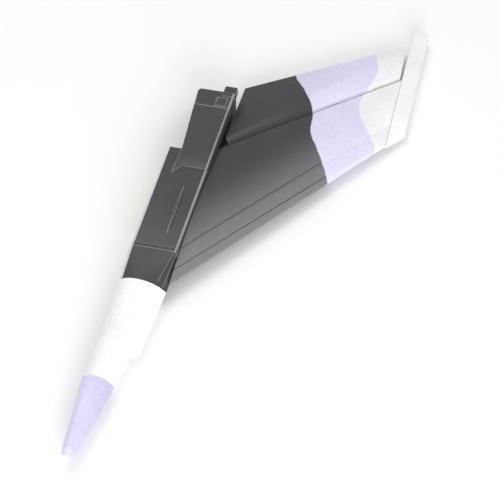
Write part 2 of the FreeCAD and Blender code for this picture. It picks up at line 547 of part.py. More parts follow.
rail = rail.makeFillet(6.0, [e for e in rail.Edges if all(abs(v.Point.y - RAIL_END_Y) < 0.1 for v in e.Vertexes)
                             and abs(e.Vertexes[0].Point.z - e.Vertexes[-1].Point.z) > 10])
rail_long = [e for e in rail.Edges if len(e.Vertexes) == 2 and abs(e.Vertexes[0].Point.y - e.Vertexes[1].Point.y) > 60
             and abs(e.Vertexes[0].Point.z - e.Vertexes[1].Point.z) < 0.1]
rail = rail.makeFillet(2.5, rail_long)
dowel_z = -(RAIL_INNER_X - WING_ROOT_X) * math.tan(math.radians(ANHEDRAL_DEG))
dowels = [cylinder(DOWEL_D / 2, (RAIL_INNER_X - DOWEL_LEN / 2, y, dowel_z), (1, 0, 0), DOWEL_LEN) for y in DOWEL_YS]
dowel_holes = [cylinder(DOWEL_D / 2 + GLUE_FIT, (RAIL_INNER_X - DOWEL_LEN / 2 - 1, y, dowel_z), (1, 0, 0),
                        DOWEL_LEN + 2) for y in DOWEL_YS]
nodes["tip_rail_dowels"] = Part.makeCompound(dowels)
nodes["tip_rail"] = one_solid(cut_all(rail, dowel_holes))

# ---------------------------------------------------------------- wing spar
spar_start, spar_end = V(SPAR_X0, SPAR_Y0, 0), V(SPAR_X1, SPAR_Y1, 0)
spar_dir = spar_end - spar_start
nodes["wing_spar_rod"] = droop(Part.makeCylinder(SPAR_D / 2, spar_dir.Length, spar_start, spar_dir))
spar_hole = droop(Part.makeCylinder(SPAR_D / 2 + GLUE_FIT, spar_dir.Length + 1, spar_start, spar_dir))

# ---------------------------------------------------------------- hinges
def along(radius, x0, x1, y=0.0, z=0.0):
    return cylinder(radius, (x0, y, z), (1, 0, 0), x1 - x0)


def hinge_set():
    """Wing leaf, elevon leaf, pin and the foam pockets of one hinge, in the hinge's frame."""
    half = LEAF_LEN / 2
    third = LEAF_LEN / 6
    clear = KNUCKLE_R + KNUCKLE_GAP
    bore = along(HINGE_PIN_R + PIN_FIT, -half - 1, half + 1)
    wing_plate = box(-half, half, -LEAF_REACH, 0, -LEAF_T / 2, LEAF_T / 2)
    wing_notch = along(clear, -third - KNUCKLE_GAP, third + KNUCKLE_GAP)
    wing_knuckles = [along(KNUCKLE_R, -half, -third - KNUCKLE_GAP), along(KNUCKLE_R, third + KNUCKLE_GAP, half)]
    wing_leaf = wing_plate.cut(wing_notch).fuse(wing_knuckles).cut(bore)
    grips = [cylinder(1.2, (x, -LEAF_REACH + 4, -2), (0, 0, 1), 4) for x in (-3.2, 3.2)]
    elevon_grips = [cylinder(1.2, (x, LEAF_REACH - 4, -2), (0, 0, 1), 4) for x in (-3.2, 3.2)]
    elevon_plate = box(-half, half, 0, LEAF_REACH, -LEAF_T / 2, LEAF_T / 2)
    side_notches = [along(clear, -half - 1, -third + 0.01), along(clear, third - 0.01, half + 1)]
    elevon_leaf = cut_all(elevon_plate, side_notches).fuse(along(KNUCKLE_R, -third, third)).cut(bore)
    pin = along(HINGE_PIN_R, -half + 0.2, half - 0.2)
    wing_room = box(-half - GLUE_FIT, half + GLUE_FIT, -LEAF_REACH - GLUE_FIT, 0,
                          -LEAF_T / 2 - GLUE_FIT, LEAF_T / 2 + GLUE_FIT)
    elevon_room = box(-half - GLUE_FIT, half + GLUE_FIT, 0, LEAF_REACH + GLUE_FIT,
                            -LEAF_T / 2 - GLUE_FIT, LEAF_T / 2 + GLUE_FIT)
    knuckle_room = along(KNUCKLE_R + 0.8, -half - 0.8, half + 0.8)
    return {"wing": cut_all(wing_leaf, grips), "elevon": cut_all(elevon_leaf, elevon_grips), "pin": pin,
            "wing_room": wing_room, "elevon_room": elevon_room.fuse(knuckle_room)}


hinge = hinge_set()


def all_hinges(key):
    return [at_hinge(hinge[key], x) for x in HINGE_XS]


nodes["hinge_wing_leaves"] = Part.makeCompound([one_solid(s) for s in all_hinges("wing")])
nodes["hinge_elevon_leaves"] = Part.makeCompound([one_solid(s) for s in all_hinges("elevon")])
nodes["hinge_pins"] = Part.makeCompound(all_hinges("pin"))

# ---------------------------------------------------------------- servo
CASE_REAR_Y = -LINK_LEN + SHAFT_FROM_END        # end of the case nearer the hinge
CASE_FRONT_Y = CASE_REAR_Y - CASE_L
CASE_Z0, CASE_Z1 = SHAFT_Z - CASE_W / 2, SHAFT_Z + CASE_W / 2
GEAR_X = CASE_TOP - GEAR_CASE_H                 # joint of gear case and middle case
MID_X = GEAR_X - CASE_H                         # joint of middle case and base cover


def servo_block(x0, x1, grow=0.0):
    return box(x0 - grow, x1 + grow, CASE_FRONT_Y - grow, CASE_REAR_Y + grow, CASE_Z0 - grow, CASE_Z1 + grow)


def on_shaft(radius, x0, x1):
    return along(radius, x0, x1, -LINK_LEN, SHAFT_Z)


gear_case = servo_block(GEAR_X, CASE_TOP).fuse(on_shaft(BOSS_R, CASE_TOP, CASE_TOP + BOSS_H))
gear_hollow = box(GEAR_X, CASE_TOP - CASE_WALL, CASE_FRONT_Y + CASE_WALL, CASE_REAR_Y - CASE_WALL,
                  CASE_Z0 + CASE_WALL, CASE_Z1 - CASE_WALL)
gear_case = cut_all(gear_case, [gear_hollow, on_shaft(SHAFT_R + PIN_FIT, GEAR_X, 0)])
mid_case = servo_block(MID_X, GEAR_X)
mid_hollow = box(MID_X, GEAR_X - CASE_WALL, CASE_FRONT_Y + CASE_WALL, CASE_REAR_Y - CASE_WALL,
                 CASE_Z0 + CASE_WALL, CASE_Z1 - CASE_WALL)
TAB_X1 = GEAR_X - 1.0
TAB_X = TAB_X1 - TAB_THICK
tabs = box(TAB_X, TAB_X1, CASE_FRONT_Y - TAB_L, CASE_REAR_Y + TAB_L, CASE_Z0 + 0.6, CASE_Z1 - 0.6)
screw_ys = (CASE_FRONT_Y - TAB_L / 2, CASE_REAR_Y + TAB_L / 2)
tab_holes = [along(SERVO_HOLE_R, TAB_X - 1, TAB_X1 + 1, y, SHAFT_Z) for y in screw_ys]
mid_case = cut_all(mid_case.fuse(tabs), [mid_hollow] + tab_holes)
base_cover = servo_block(BASE_X, MID_X)
base_cover = base_cover.cut(box(BASE_X + CASE_WALL, MID_X, CASE_FRONT_Y + CASE_WALL, CASE_REAR_Y - CASE_WALL,
                                CASE_Z0 + CASE_WALL, CASE_Z1 - CASE_WALL))
MOTOR_R, MOTOR_LEN = 4.8, 13.0
motor_y = CASE_FRONT_Y + CASE_WALL + MOTOR_R + 0.15
motor = along(MOTOR_R, MID_X + 1.2, MID_X + 1.2 + MOTOR_LEN, motor_y, SHAFT_Z)
board = box(BASE_X + CASE_WALL + 0.2, BASE_X + CASE_WALL + 1.2, CASE_FRONT_Y + CASE_WALL + 0.3,
            CASE_REAR_Y - CASE_WALL - 0.3, CASE_Z0 + CASE_WALL + 0.3, CASE_Z1 - CASE_WALL - 0.3)
shaft = on_shaft(SHAFT_R, GEAR_X + 0.5, -1.2)
output_gear = on_shaft(4.4, GEAR_X + 1.0, GEAR_X + 3.4)
arm_screw_hole = on_shaft(0.7, -6.0, 0)
shaft = shaft.fuse(output_gear).cut(arm_screw_hole)

ARM_X0, ARM_X1 = -2.8, -2.8 + ARM_T
arm_hub = on_shaft(ARM_HUB_R, CASE_TOP + BOSS_H + 0.3, ARM_X1)
arm_hole_z = SHAFT_Z - CRANK_R


def tapered_arm(x0, x1, y, z_top, r_top, z_low, r_low):
    """A flat arm with round ends, wide at the top and narrow at the bottom."""
    lean = math.asin((r_top - r_low) / (z_top - z_low))
    c, s = math.cos(lean), math.sin(lean)
    outline = [(y + r_top * c, z_top - r_top * s), (y + r_low * c, z_low - r_low * s),
               (y - r_low * c, z_low - r_low * s), (y - r_top * c, z_top - r_top * s)]
    flat = side_prism(outline, x0, x1)
    return flat.fuse([along(r_top, x0, x1, y, z_top), along(r_low, x0, x1, y, z_low)]).removeSplitter()


arm = tapered_arm(ARM_X0, ARM_X1, -LINK_LEN, SHAFT_Z, ARM_HUB_R, arm_hole_z, ARM_TIP_R).fuse(arm_hub)
arm_holes = [along(WIRE_R + HOLE_ROOM, ARM_X0 - 1, ARM_X1 + 1, -LINK_LEN, SHAFT_Z - r) for r in (CRANK_R, CRANK_R - 2.6)]
arm = cut_all(arm, arm_holes + [on_shaft(SHAFT_R, -6.0, -1.2)])
arm_screw = on_shaft(0.7, -5.6, ARM_X1).fuse(on_shaft(1.7, ARM_X1, ARM_X1 + 1.1))
screw_slot = box(ARM_X1 + 0.6, ARM_X1 + 2, -LINK_LEN - 2, -LINK_LEN + 2, SHAFT_Z - 0.25, SHAFT_Z + 0.25)
arm_screw = arm_screw.cut(screw_slot)

# the tray that the servo's tabs screw to, bonded in the foam pocket
TRAY_T = 4.0
tray_x0 = TAB_X - TRAY_T
tray_y0, tray_y1 = CASE_FRONT_Y - TAB_L - 2.0, CASE_REAR_Y + TAB_L + 2.0
tray = box(tray_x0, TAB_X, tray_y0, tray_y1, CASE_Z0 + 0.2, CASE_Z1)
tray = tray.cut(servo_block(tray_x0, TAB_X, 0.15))
SCREW_CORE_R = 0.75
tray = cut_all(tray, [along(SCREW_CORE_R, tray_x0 - 1, TAB_X + 1, y, SHAFT_Z) for y in screw_ys])
tray_parts = Part.makeCompound(tray.Solids)


def pan_screw(y):
    shank = along(SCREW_CORE_R, TAB_X - 3.0, TAB_X1, y, SHAFT_Z)
    head = along(1.8, TAB_X1, TAB_X1 + 1.2, y, SHAFT_Z)
    slots = box(TAB_X1 + 0.7, TAB_X1 + 2, y - 1.1, y + 1.1, SHAFT_Z - 0.25, SHAFT_Z + 0.25)
    return shank.fuse(head).cut(slots)


servo_screws = [pan_screw(y) for y in screw_ys]

# lid over the pocket, with the slot that the arm swings in
swing = CRANK_R * math.sin(math.radians(ELEVON_TRAVEL_DEG)) + ARM_HUB_R + 1.4
lid = box(LID_X0, LID_X1, LID_Y0, LID_Y1, LID_TOP_Z - COVER_PLATE_T, LID_TOP_Z)
lid = lid.makeFillet(2.5, [e for e in lid.Edges if len(e.Vertexes) == 2 and abs(
    e.Vertexes[0].Point.z - e.Vertexes[1].Point.z) > 1])
ARM_SLOT_X0, ARM_SLOT_X1 = -4.4, 2.0
arm_slot = box(ARM_SLOT_X0, ARM_SLOT_X1, -LINK_LEN - swing, -LINK_LEN + swing, -30, LID_TOP_Z + 1)
lid_screw_spots = [(x, y) for x in (LID_X0 + 2.6, LID_X1 - 2.6) for y in (LID_Y0 + 2.6, LID_Y1 - 2.6)]


def plan_post(radius, x, y, z0, z1):
    return cylinder(radius, (x, y, z0), (0, 0, 1), z1 - z0)


lid = cut_all(lid, [arm_slot] + [plan_post(0.8, x, y, -20, 0) for x, y in lid_screw_spots])
lid_low = LID_TOP_Z - COVER_PLATE_T
lid_screws = [plan_post(0.75, x, y, lid_low, LID_TOP_Z + 5).fuse(plan_post(1.5, x, y, lid_low - 0.9, lid_low)).cut(
    box(x - 1.0, x + 1.0, y - 0.2, y + 0.2, lid_low - 2, lid_low - 0.5)) for x, y in lid_screw_spots]

# pockets in the foam
pocket = servo_block(BASE_X, CASE_TOP, POCKET_ROOM)
pocket_down = box(BASE_X - POCKET_ROOM, CASE_TOP + POCKET_ROOM, CASE_FRONT_Y - POCKET_ROOM,
                  CASE_REAR_Y + POCKET_ROOM, -30, CASE_Z0)
tray_room = box(tray_x0 - GLUE_FIT, TAB_X1 + 2.0, tray_y0 - GLUE_FIT, tray_y1 + GLUE_FIT, -30, CASE_Z1 + GLUE_FIT)
arm_room = box(CASE_TOP, ARM_SLOT_X1, -LINK_LEN - swing, -LINK_LEN + swing, -30, SHAFT_Z + BOSS_R + POCKET_ROOM)
lid_room = box(LID_X0 - 0.2, LID_X1 + 0.2, LID_Y0 - 0.2, LID_Y1 + 0.2, -30, LID_TOP_Z)
screw_room = [plan_post(0.75, x, y, LID_TOP_Z - 1, LID_TOP_Z + 5) for x, y in lid_screw_spots]
servo_rooms = [pocket, pocket_down, tray_room, arm_room, lid_room] + screw_room

# ---------------------------------------------------------------- horn, clevis, pushrod
LINE_X = 0.6                                    # the pushrod's line, beside the arm
horn_x0, horn_x1 = LINE_X - HORN_T / 2, LINE_X + HORN_T / 2
HORN_EMBED, HORN_TOP_R = 2.2, 3.0
blade_top_z = -CRANK_R + 1.5
horn_end_y = BEVEL_RUN + HORN_LEN
horn_blade = tapered_arm(horn_x0, horn_x1, 0.0, blade_top_z, HORN_TOP_R, -CRANK_R - 2.6, 2.2)
horn_foot_z = -HALF_T_ELEVON * thin(SERVO_X + 4)
horn_web = side_prism([(1 - HORN_TOP_R, blade_top_z), (HORN_TOP_R - 0.05, blade_top_z),
                       (horn_end_y, horn_foot_z + 0.3), (horn_end_y, horn_foot_z + HORN_EMBED),
                       (BEVEL_RUN - 1, horn_foot_z + HORN_EMBED), (0.5, blade_top_z + HORN_TOP_R - 0.1)],
                      horn_x0, horn_x1)
horn_foot = box(LINE_X - 4, LINE_X + 4, BEVEL_RUN + 0.5, horn_end_y, horn_foot_z + 0.3, horn_foot_z + 1.5)
open_pivot_hole = along(WIRE_R + OPEN_PIVOT_ROOM, horn_x0 - 1, horn_x1 + 1, 0.0, -CRANK_R)
spare_hole = along(WIRE_R + HOLE_ROOM, horn_x0 - 1, horn_x1 + 1, 0.0, -CRANK_R - 2.8)
horn_raw = horn_web.fuse([horn_blade, horn_foot])
horn = cut_all(horn_raw, [open_pivot_hole, spare_hole])

rest_lean = math.atan2((-CRANK_R) - arm_hole_z, LINK_LEN)       # the pushrod's slope at rest


def line_z(y):
    """Height of the pushrod's line."""
    return -CRANK_R + y * math.tan(rest_lean)


def on_line(radius, y0, y1, x=LINE_X):
    start, end = V(x, y0, line_z(y0)), V(x, y1, line_z(y1))
    return Part.makeCylinder(radius, (end - start).Length, start, end - start)


CLEVIS_LEN, CLEVIS_R, SHANK_LEN = 14.0, 2.3, 5.0
leg_x = HORN_T / 2 + CLEVIS_GAP
clevis_y0 = -CLEVIS_LEN
legs_outer = leg_x + CLEVIS_LEG_T


def clevis_leg(x0, x1):
    flat = side_prism([(clevis_y0, line_z(clevis_y0) - CLEVIS_R), (0, -CRANK_R - CLEVIS_R),
                       (0, -CRANK_R + CLEVIS_R), (clevis_y0, line_z(clevis_y0) + CLEVIS_R)], x0, x1)
    return flat.fuse(along(CLEVIS_R, x0, x1, 0.0, -CRANK_R))


clevis_legs = [clevis_leg(LINE_X - legs_outer, LINE_X - leg_x), clevis_leg(LINE_X + leg_x, LINE_X + legs_outer)]
clevis_neck = side_prism([(clevis_y0 - SHANK_LEN, line_z(clevis_y0 - SHANK_LEN) - CLEVIS_R),
                          (clevis_y0 + 2, line_z(clevis_y0 + 2) - CLEVIS_R),
                          (clevis_y0 + 2, line_z(clevis_y0 + 2) + CLEVIS_R),
                          (clevis_y0 - SHANK_LEN, line_z(clevis_y0 - SHANK_LEN) + CLEVIS_R)],
                         LINE_X - legs_outer, LINE_X + legs_outer)
clevis_pin = along(WIRE_R, LINE_X - legs_outer, LINE_X + legs_outer, 0.0, -CRANK_R)
WIRE_IN = 3.5
wire_seat = on_line(WIRE_R, clevis_y0 - SHANK_LEN - 1, clevis_y0 - SHANK_LEN + WIRE_IN)
clevis = clevis_legs[0].fuse([clevis_legs[1], clevis_neck, clevis_pin]).cut(wire_seat).removeSplitter()

wire_y0 = -LINK_LEN
wire_main = on_line(WIRE_R, wire_y0, clevis_y0 - SHANK_LEN + WIRE_IN)
wire_cross = along(WIRE_R, ARM_X0 - 1.2, LINE_X, wire_y0, arm_hole_z)
wire_tail = cylinder(WIRE_R, (ARM_X0 - 1.2, wire_y0, arm_hole_z), (0, -1, 0), 4.0)
wire_knees = [Part.makeSphere(WIRE_R, V(LINE_X, wire_y0, arm_hole_z)),
              Part.makeSphere(WIRE_R, V(ARM_X0 - 1.2, wire_y0, arm_hole_z))]
wire = wire_main.fuse([wire_cross, wire_tail] + wire_knees)
KEEPER_LEN = 3.0
keeper_y = clevis_y0 - 3.0
keeper = side_prism([(keeper_y, line_z(keeper_y) - CLEVIS_R - 0.8), (keeper_y + KEEPER_LEN, line_z(keeper_y + KEEPER_LEN) - CLEVIS_R - 0.8),
                     (keeper_y + KEEPER_LEN, line_z(keeper_y + KEEPER_LEN) + CLEVIS_R + 0.8),
                     (keeper_y, line_z(keeper_y) + CLEVIS_R + 0.8)], LINE_X - legs_outer - 0.8, LINE_X + legs_outer + 0.8)
keeper_hole = side_prism([(clevis_y0 - SHANK_LEN, line_z(clevis_y0 - SHANK_LEN) - CLEVIS_R),
                          (clevis_y0 + 2, line_z(clevis_y0 + 2) - CLEVIS_R),
                          (clevis_y0 + 2, line_z(clevis_y0 + 2) + CLEVIS_R),
                          (clevis_y0 - SHANK_LEN, line_z(clevis_y0 - SHANK_LEN) + CLEVIS_R)],
                         LINE_X - legs_outer, LINE_X + legs_outer)
keeper = keeper.cut(keeper_hole)


def placed(shape):
    return at_hinge(shape, SERVO_X)


nodes["servo_gear_case"] = placed(one_solid(gear_case))
nodes["servo_middle_case"] = placed(one_solid(mid_case))
nodes["servo_base_cover"] = placed(one_solid(base_cover))
nodes["servo_motor"] = placed(motor)
nodes["servo_circuit_board"] = placed(board)
nodes["servo_output_shaft"] = placed(one_solid(shaft))
nodes["servo_arm"] = placed(one_solid(arm))
nodes["servo_arm_screw"] = placed(one_solid(arm_screw))
nodes["servo_tray"] = placed(tray_parts)
nodes["servo_screws"] = Part.makeCompound([placed(one_solid(s)) for s in servo_screws])
nodes["servo_pocket_lid"] = placed(one_solid(lid))
nodes["lid_screws"] = Part.makeCompound([placed(one_solid(s)) for s in lid_screws])
nodes["pushrod_wire"] = placed(one_solid(wire))
nodes["pushrod_clevis"] = placed(one_solid(clevis))
nodes["clevis_keeper"] = placed(one_solid(keeper))
nodes["control_horn"] = placed(one_solid(horn))

# ---------------------------------------------------------------- wing core and elevon, with all their pockets
wing_tools = all_hinges("wing_room") + [placed(s) for s in servo_rooms] + [main_tube_hole, spar_hole] + channel
nodes["wing_core"] = one_solid(cut_all(core, wing_tools + dowel_holes))


def elevon_end(x_start, x_end_te, low_side):
    """The side outline that trims one end of the elevon."""
    y_front, y_back = -60.0, 360.0
    far_x = 20.0 if low_side else 320.0
    hinge_y = line_y(x_start, HINGE_Y, HINGE_SLOPE)
    te_y = line_y(x_end_te, TE_Y, TE_SLOPE)
    lean = (x_end_te - x_start) / (te_y - hinge_y)
    x_at = [x_start + lean * (y - hinge_y) for y in (y_front, y_back)]
    return prism([(far_x, y_front), (x_at[0], y_front), (x_at[1], y_back), (far_x, y_back)], -60, 60)


root_gap_x = side_x(50) + ELEVON_GAP_ROOT
inboard_trim = elevon_end(root_gap_x, side_x(150) + ELEVON_GAP_ROOT + 0.6, True)
outboard_trim = elevon_end(RAIL_INNER_X - ELEVON_GAP_TIP, RAIL_INNER_X - ELEVON_GAP_TIP_TE, False)
corner_y = line_y(root_gap_x, HINGE_Y, HINGE_SLOPE)
corner_trim = prism([(root_gap_x - 8, corner_y - 12), (root_gap_x + 5.5, corner_y - 12), (root_gap_x + 5.5, corner_y + 7),
                     (root_gap_x - 0.5, corner_y + 17), (root_gap_x - 8, corner_y + 17)], -60, 60)
elevon = cut_all(elevon, [inboard_trim, outboard_trim, corner_trim])
x0, x1 = SPAR_X0 + 18, RAIL_INNER_X - 14
stiff_y = STIFFENER_BACK * Y_PER_MM
stiffener_plan = [(x0, line_y(x0, HINGE_Y, HINGE_SLOPE) + stiff_y), (x1, line_y(x1, HINGE_Y, HINGE_SLOPE) + stiff_y),
                  (x1, line_y(x1, HINGE_Y, HINGE_SLOPE) + stiff_y + STIFFENER_W * Y_PER_MM),
                  (x0, line_y(x0, HINGE_Y, HINGE_SLOPE) + stiff_y + STIFFENER_W * Y_PER_MM)]
stiffener = droop(prism(stiffener_plan, -STIFFENER_T / 2, STIFFENER_T / 2))
horn_room = placed(horn_web.fuse(horn_foot))
nodes["elevon"] = one_solid(cut_all(elevon, all_hinges("elevon_room") + [stiffener, horn_room]))
nodes["elevon_stiffener_strip"] = stiffener

# ---------------------------------------------------------------- export
os.makedirs("parts", exist_ok=True)
for name, shape in nodes.items():
    shape.exportStep(os.path.join("parts", name + ".step"))
    print(name, len(shape.Solids), "solids", round(shape.Volume), "mm3", "valid" if shape.isValid() else "NOT VALID")
hinge_point = hinge_to_world(0, 0, 0, SERVO_X)
hinge_ahead = hinge_to_world(1, 0, 0, SERVO_X)
shaft_point = hinge_to_world(0, -LINK_LEN, SHAFT_Z, SERVO_X)
pivot_point = hinge_to_world(0, -LINK_LEN, SHAFT_Z - CRANK_R, SERVO_X)
for label, point in (("hinge", hinge_point), ("axis", hinge_ahead - hinge_point), ("shaft", shaft_point),
                     ("pushrod pivot", pivot_point)):
    print(label, round(point.x, 4), round(point.y, 4), round(point.z, 4))
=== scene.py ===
# %% [markdown]
# # The wing panel of a foam radio-control jet
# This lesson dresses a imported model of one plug-in wing panel.  The panel is moulded foam with a thin
# painted root fairing, a swept leading-edge strip, an elevon that swings on four hinges and a rail at
# the tip.  The shapes that fit or move come with the frame.  Here the foam and plastic skins are copied,
# their loose triangles are welded, their corners are rounded and their panel lines are cut, and every
# surface gets a finish of its own.

# %% Load the frame
import json
import math

import bpy
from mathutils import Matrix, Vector


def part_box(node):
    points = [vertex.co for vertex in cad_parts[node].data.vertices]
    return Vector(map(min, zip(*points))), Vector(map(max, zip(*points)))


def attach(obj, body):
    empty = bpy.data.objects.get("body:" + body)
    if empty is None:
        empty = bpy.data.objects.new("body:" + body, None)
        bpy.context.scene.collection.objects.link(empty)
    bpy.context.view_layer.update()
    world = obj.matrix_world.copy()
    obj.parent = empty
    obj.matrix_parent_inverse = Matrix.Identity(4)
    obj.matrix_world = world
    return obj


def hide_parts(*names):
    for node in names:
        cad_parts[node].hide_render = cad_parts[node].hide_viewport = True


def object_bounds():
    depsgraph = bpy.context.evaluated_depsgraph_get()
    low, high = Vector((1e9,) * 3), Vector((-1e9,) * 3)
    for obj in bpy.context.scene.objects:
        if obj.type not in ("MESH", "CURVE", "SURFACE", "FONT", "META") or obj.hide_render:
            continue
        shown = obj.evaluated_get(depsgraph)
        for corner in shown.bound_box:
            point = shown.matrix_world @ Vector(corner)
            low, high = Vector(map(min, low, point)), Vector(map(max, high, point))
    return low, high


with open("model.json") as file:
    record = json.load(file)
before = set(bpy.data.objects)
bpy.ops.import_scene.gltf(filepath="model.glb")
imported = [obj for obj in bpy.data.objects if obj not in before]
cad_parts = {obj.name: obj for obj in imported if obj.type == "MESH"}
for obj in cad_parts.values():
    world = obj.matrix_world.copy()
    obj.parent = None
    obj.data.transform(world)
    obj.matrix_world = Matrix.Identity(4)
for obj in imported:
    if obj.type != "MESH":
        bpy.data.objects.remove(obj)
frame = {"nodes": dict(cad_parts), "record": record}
cad_box = [list(corner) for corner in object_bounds()]
bpy.ops.object.select_all(action="DESELECT")
MM = 0.001
low, high = Vector(cad_box[0]), Vector(cad_box[1])
print("box of the model in mm", [round(side / MM) for side in high - low])

# %% [markdown]
# ## Camera, floor and light
# The panel is seen from in front and a little outboard, from well above, with a long lens, so that
# straight edges stay straight.  The light is soft: a wide disc hangs overhead, a second one stands low in
# front so that it lights the leading edge and the elevon's bevel, and a white world fills the shadows.
# The floor lies exactly under the lowest point.

# %% Camera
CAMERA_SPOT = Vector((0.4487, -1.4584, 1.5201))
TARGET = Vector((0.1341, -0.1064, 0.0))


def aim(thing, spot):
    """Put a camera or lamp at a spot and turn it to the panel's middle."""
    thing.location = spot
    thing.rotation_euler = (TARGET - Vector(spot)).to_track_quat("-Z", "Y").to_euler()


camera_data = bpy.data.cameras.new("camera")
camera_data.lens = 128.9
camera_data.sensor_width = 36.0
camera_data.clip_end = 20.0
camera = bpy.data.objects.new("camera", camera_data)
bpy.context.collection.objects.link(camera)
aim(camera, CAMERA_SPOT)
bpy.context.scene.camera = camera
print("camera is", round((TARGET - CAMERA_SPOT).length, 2), "m away")


# %% Colours, and the one function that adds a node
def linear(code):
    """An sRGB hex colour as linear red, green, blue and alpha."""
    parts = [int(code[i:i + 2], 16) / 255 for i in (1, 3, 5)]
    return tuple(p / 12.92 if p <= 0.04045 else ((p + 0.055) / 1.055) ** 2.4 for p in parts) + (1.0,)


def add_node(material, kind, sockets=None, **settings):
    """A node with its settings; a socket's value is a number, a colour or another node's output."""
    tree = material.node_tree
    made = tree.nodes.new("ShaderNode" + kind)
    for name, value in settings.items():
        setattr(made, name, value)
    for name, value in (sockets or {}).items():
        if isinstance(value, bpy.types.NodeSocket):
            tree.links.new(value, made.inputs[name])
        else:
            made.inputs[name].default_value = value
    return made


def per_mm(size):
    """A texture scale that repeats once in so many millimetres."""
    return 1.0 / (size * MM)


def spread(material, value, low_in, high_in, low_out, high_out, smooth=False):
    """Map one range of values onto another, and hold it at the ends."""
    kind = "SMOOTHSTEP" if smooth else "LINEAR"
    return add_node(material, "MapRange", {"Value": value, "From Min": low_in, "From Max": high_in,
                                           "To Min": low_out, "To Max": high_out},
                    interpolation_type=kind).outputs["Result"]


def relief(material, height, strength, depth_mm, under=None):
    """Raise the surface by a height, on top of another relief if there is one."""
    sockets = {"Height": height, "Strength": strength, "Distance": depth_mm * MM}
    if under is not None:
        sockets["Normal"] = under
    return add_node(material, "Bump", sockets).outputs["Normal"]


print("texture scale of a 1 mm grain", per_mm(1.0))


# %% Floor and lights
def start_material(name, roughness, **sockets):
    """A material, its principled shader with constant values, and the object coordinates."""
    material = bpy.data.materials.new(name)
    material.use_nodes = True
    shader = material.node_tree.nodes["Principled BSDF"]
    shader.inputs["Roughness"].default_value = roughness
    for socket, value in sockets.items():
        shader.inputs[socket.replace("_", " ")].default_value = value
    where = add_node(material, "TexCoord").outputs["Object"]
    return material, shader, where


def plug(material, shader, **links):
    """Link node outputs to the shader's sockets."""
    for socket, output in links.items():
        material.node_tree.links.new(output, shader.inputs[socket.replace("_", " ")])


def ramp(material, value, *stops):
    """A colour ramp from (place, colour) stops."""
    made = add_node(material, "ValToRGB", {"Fac": value})
    elements = made.color_ramp.elements
    while len(elements) < len(stops):
        elements.new(0.5)
    for element, (place, code) in zip(elements, stops):
        element.position = place
        element.color = linear(code)
    return made.outputs["Color"]


def paper_floor():
    """A wide sheet of pale backdrop paper under the panel."""
    bpy.ops.mesh.primitive_plane_add(size=12, location=(0, 0, low.z))
    floor = bpy.context.object
    floor.name = "paper_floor"
    bpy.ops.object.transform_apply(location=True)
    material, shader, where = start_material("pale_backdrop_paper", 0.9)
    fibre = add_node(material, "TexNoise", {"Vector": where, "Scale": per_mm(1.2), "Detail": 4.0})
    tone = ramp(material, fibre.outputs["Fac"], (0.0, "#f3f3f4"), (1.0, "#fafafa"))
    plug(material, shader, Base_Color=tone)
    floor.data.materials.append(material)


def softbox(name, spot, size, watts):
    data = bpy.data.lights.new(name, "AREA")
    data.shape = "DISK"
    data.size = size
    data.energy = watts
    lamp = bpy.data.objects.new(name, data)
    bpy.context.collection.objects.link(lamp)
    aim(lamp, spot)


paper_floor()
softbox("overhead_softbox", (-0.5, 0.5, 2.4), 1.5, 14)
softbox("front_softbox", (1.0, -2.3, 0.8), 1.3, 46)
world = bpy.data.worlds.new("studio")
world.use_nodes = True
world.node_tree.nodes["Background"].inputs["Color"].default_value = linear("#ffffff")
world.node_tree.nodes["Background"].inputs["Strength"].default_value = 0.71
bpy.context.scene.world = world
bpy.context.scene.view_settings.view_transform = "Standard"
print("floor at", round(low.z / MM, 2), "mm, lamps", len(bpy.data.lights))

# %% [markdown]
# ## Helpers for shaping
# A node of the frame is a soup of loose triangles, which can't be bevelled.  The frame's own meshes must
# stay as they are, so a copy is made, its doubles are merged, and flat triangles are dissolved into whole
# faces.  After that the copy behaves like any hand-made mesh: edges can be picked by their place, and
# bevelled, moved or rounded.  The copy then stands for its node.


# %% Helpers for shaping
def activate(piece):
    bpy.ops.object.select_all(action="DESELECT")
    piece.select_set(True)
    bpy.context.view_layer.objects.active = piece


def empty_slots(piece):
    """Two empty material slots: one for the paint and one for the edges, a painted highlight on the covers.
    """
    piece.data.materials.clear()
    for _ in range(2):
        piece.data.materials.append(None)


def welded_copy(node):
    """A copy of a node's mesh, welded, with its flat faces whole."""
    piece = bpy.data.objects.new(node + "_skin", frame["nodes"][node].data.copy())
    bpy.context.collection.objects.link(piece)
    activate(piece)
    bpy.ops.object.mode_set(mode="EDIT")
    bpy.ops.mesh.select_all(action="SELECT")
    bpy.ops.mesh.remove_doubles(threshold=0.001 * MM)
    bpy.ops.mesh.customdata_custom_splitnormals_clear()
    bpy.ops.mesh.dissolve_limited(angle_limit=math.radians(0.05))
    bpy.ops.object.mode_set(mode="OBJECT")
    empty_slots(piece)
    return piece


def pick_edges(piece, test):
    """Select the edges that pass a test on their two ends; returns how many."""
    activate(piece)
    bpy.ops.object.mode_set(mode="EDIT")
    bpy.ops.mesh.select_mode(type="EDGE")
    bpy.ops.mesh.select_all(action="DESELECT")
    bpy.ops.object.mode_set(mode="OBJECT")
    corners = piece.data.vertices
    picked = 0
    for edge in piece.data.edges:
        edge.select = test(corners[edge.vertices[0]].co, corners[edge.vertices[1]].co)
        picked += edge.select
    bpy.ops.object.mode_set(mode="EDIT")
    return picked


def bevel_picked(width, segments=1):
    """Bevel what is selected in edit mode, and leave edit mode."""
    bpy.ops.mesh.bevel(offset=width, segments=segments, affect="EDGES", clamp_overlap=True)
    bpy.ops.object.mode_set(mode="OBJECT")


def apply_modifier(piece, kind, **settings):
    activate(piece)
    modifier = piece.modifiers.new(kind.lower(), kind)
    for name, value in settings.items():
        setattr(modifier, name, value)
    bpy.ops.object.modifier_apply(modifier=modifier.name)


LONG_MM = 4.0


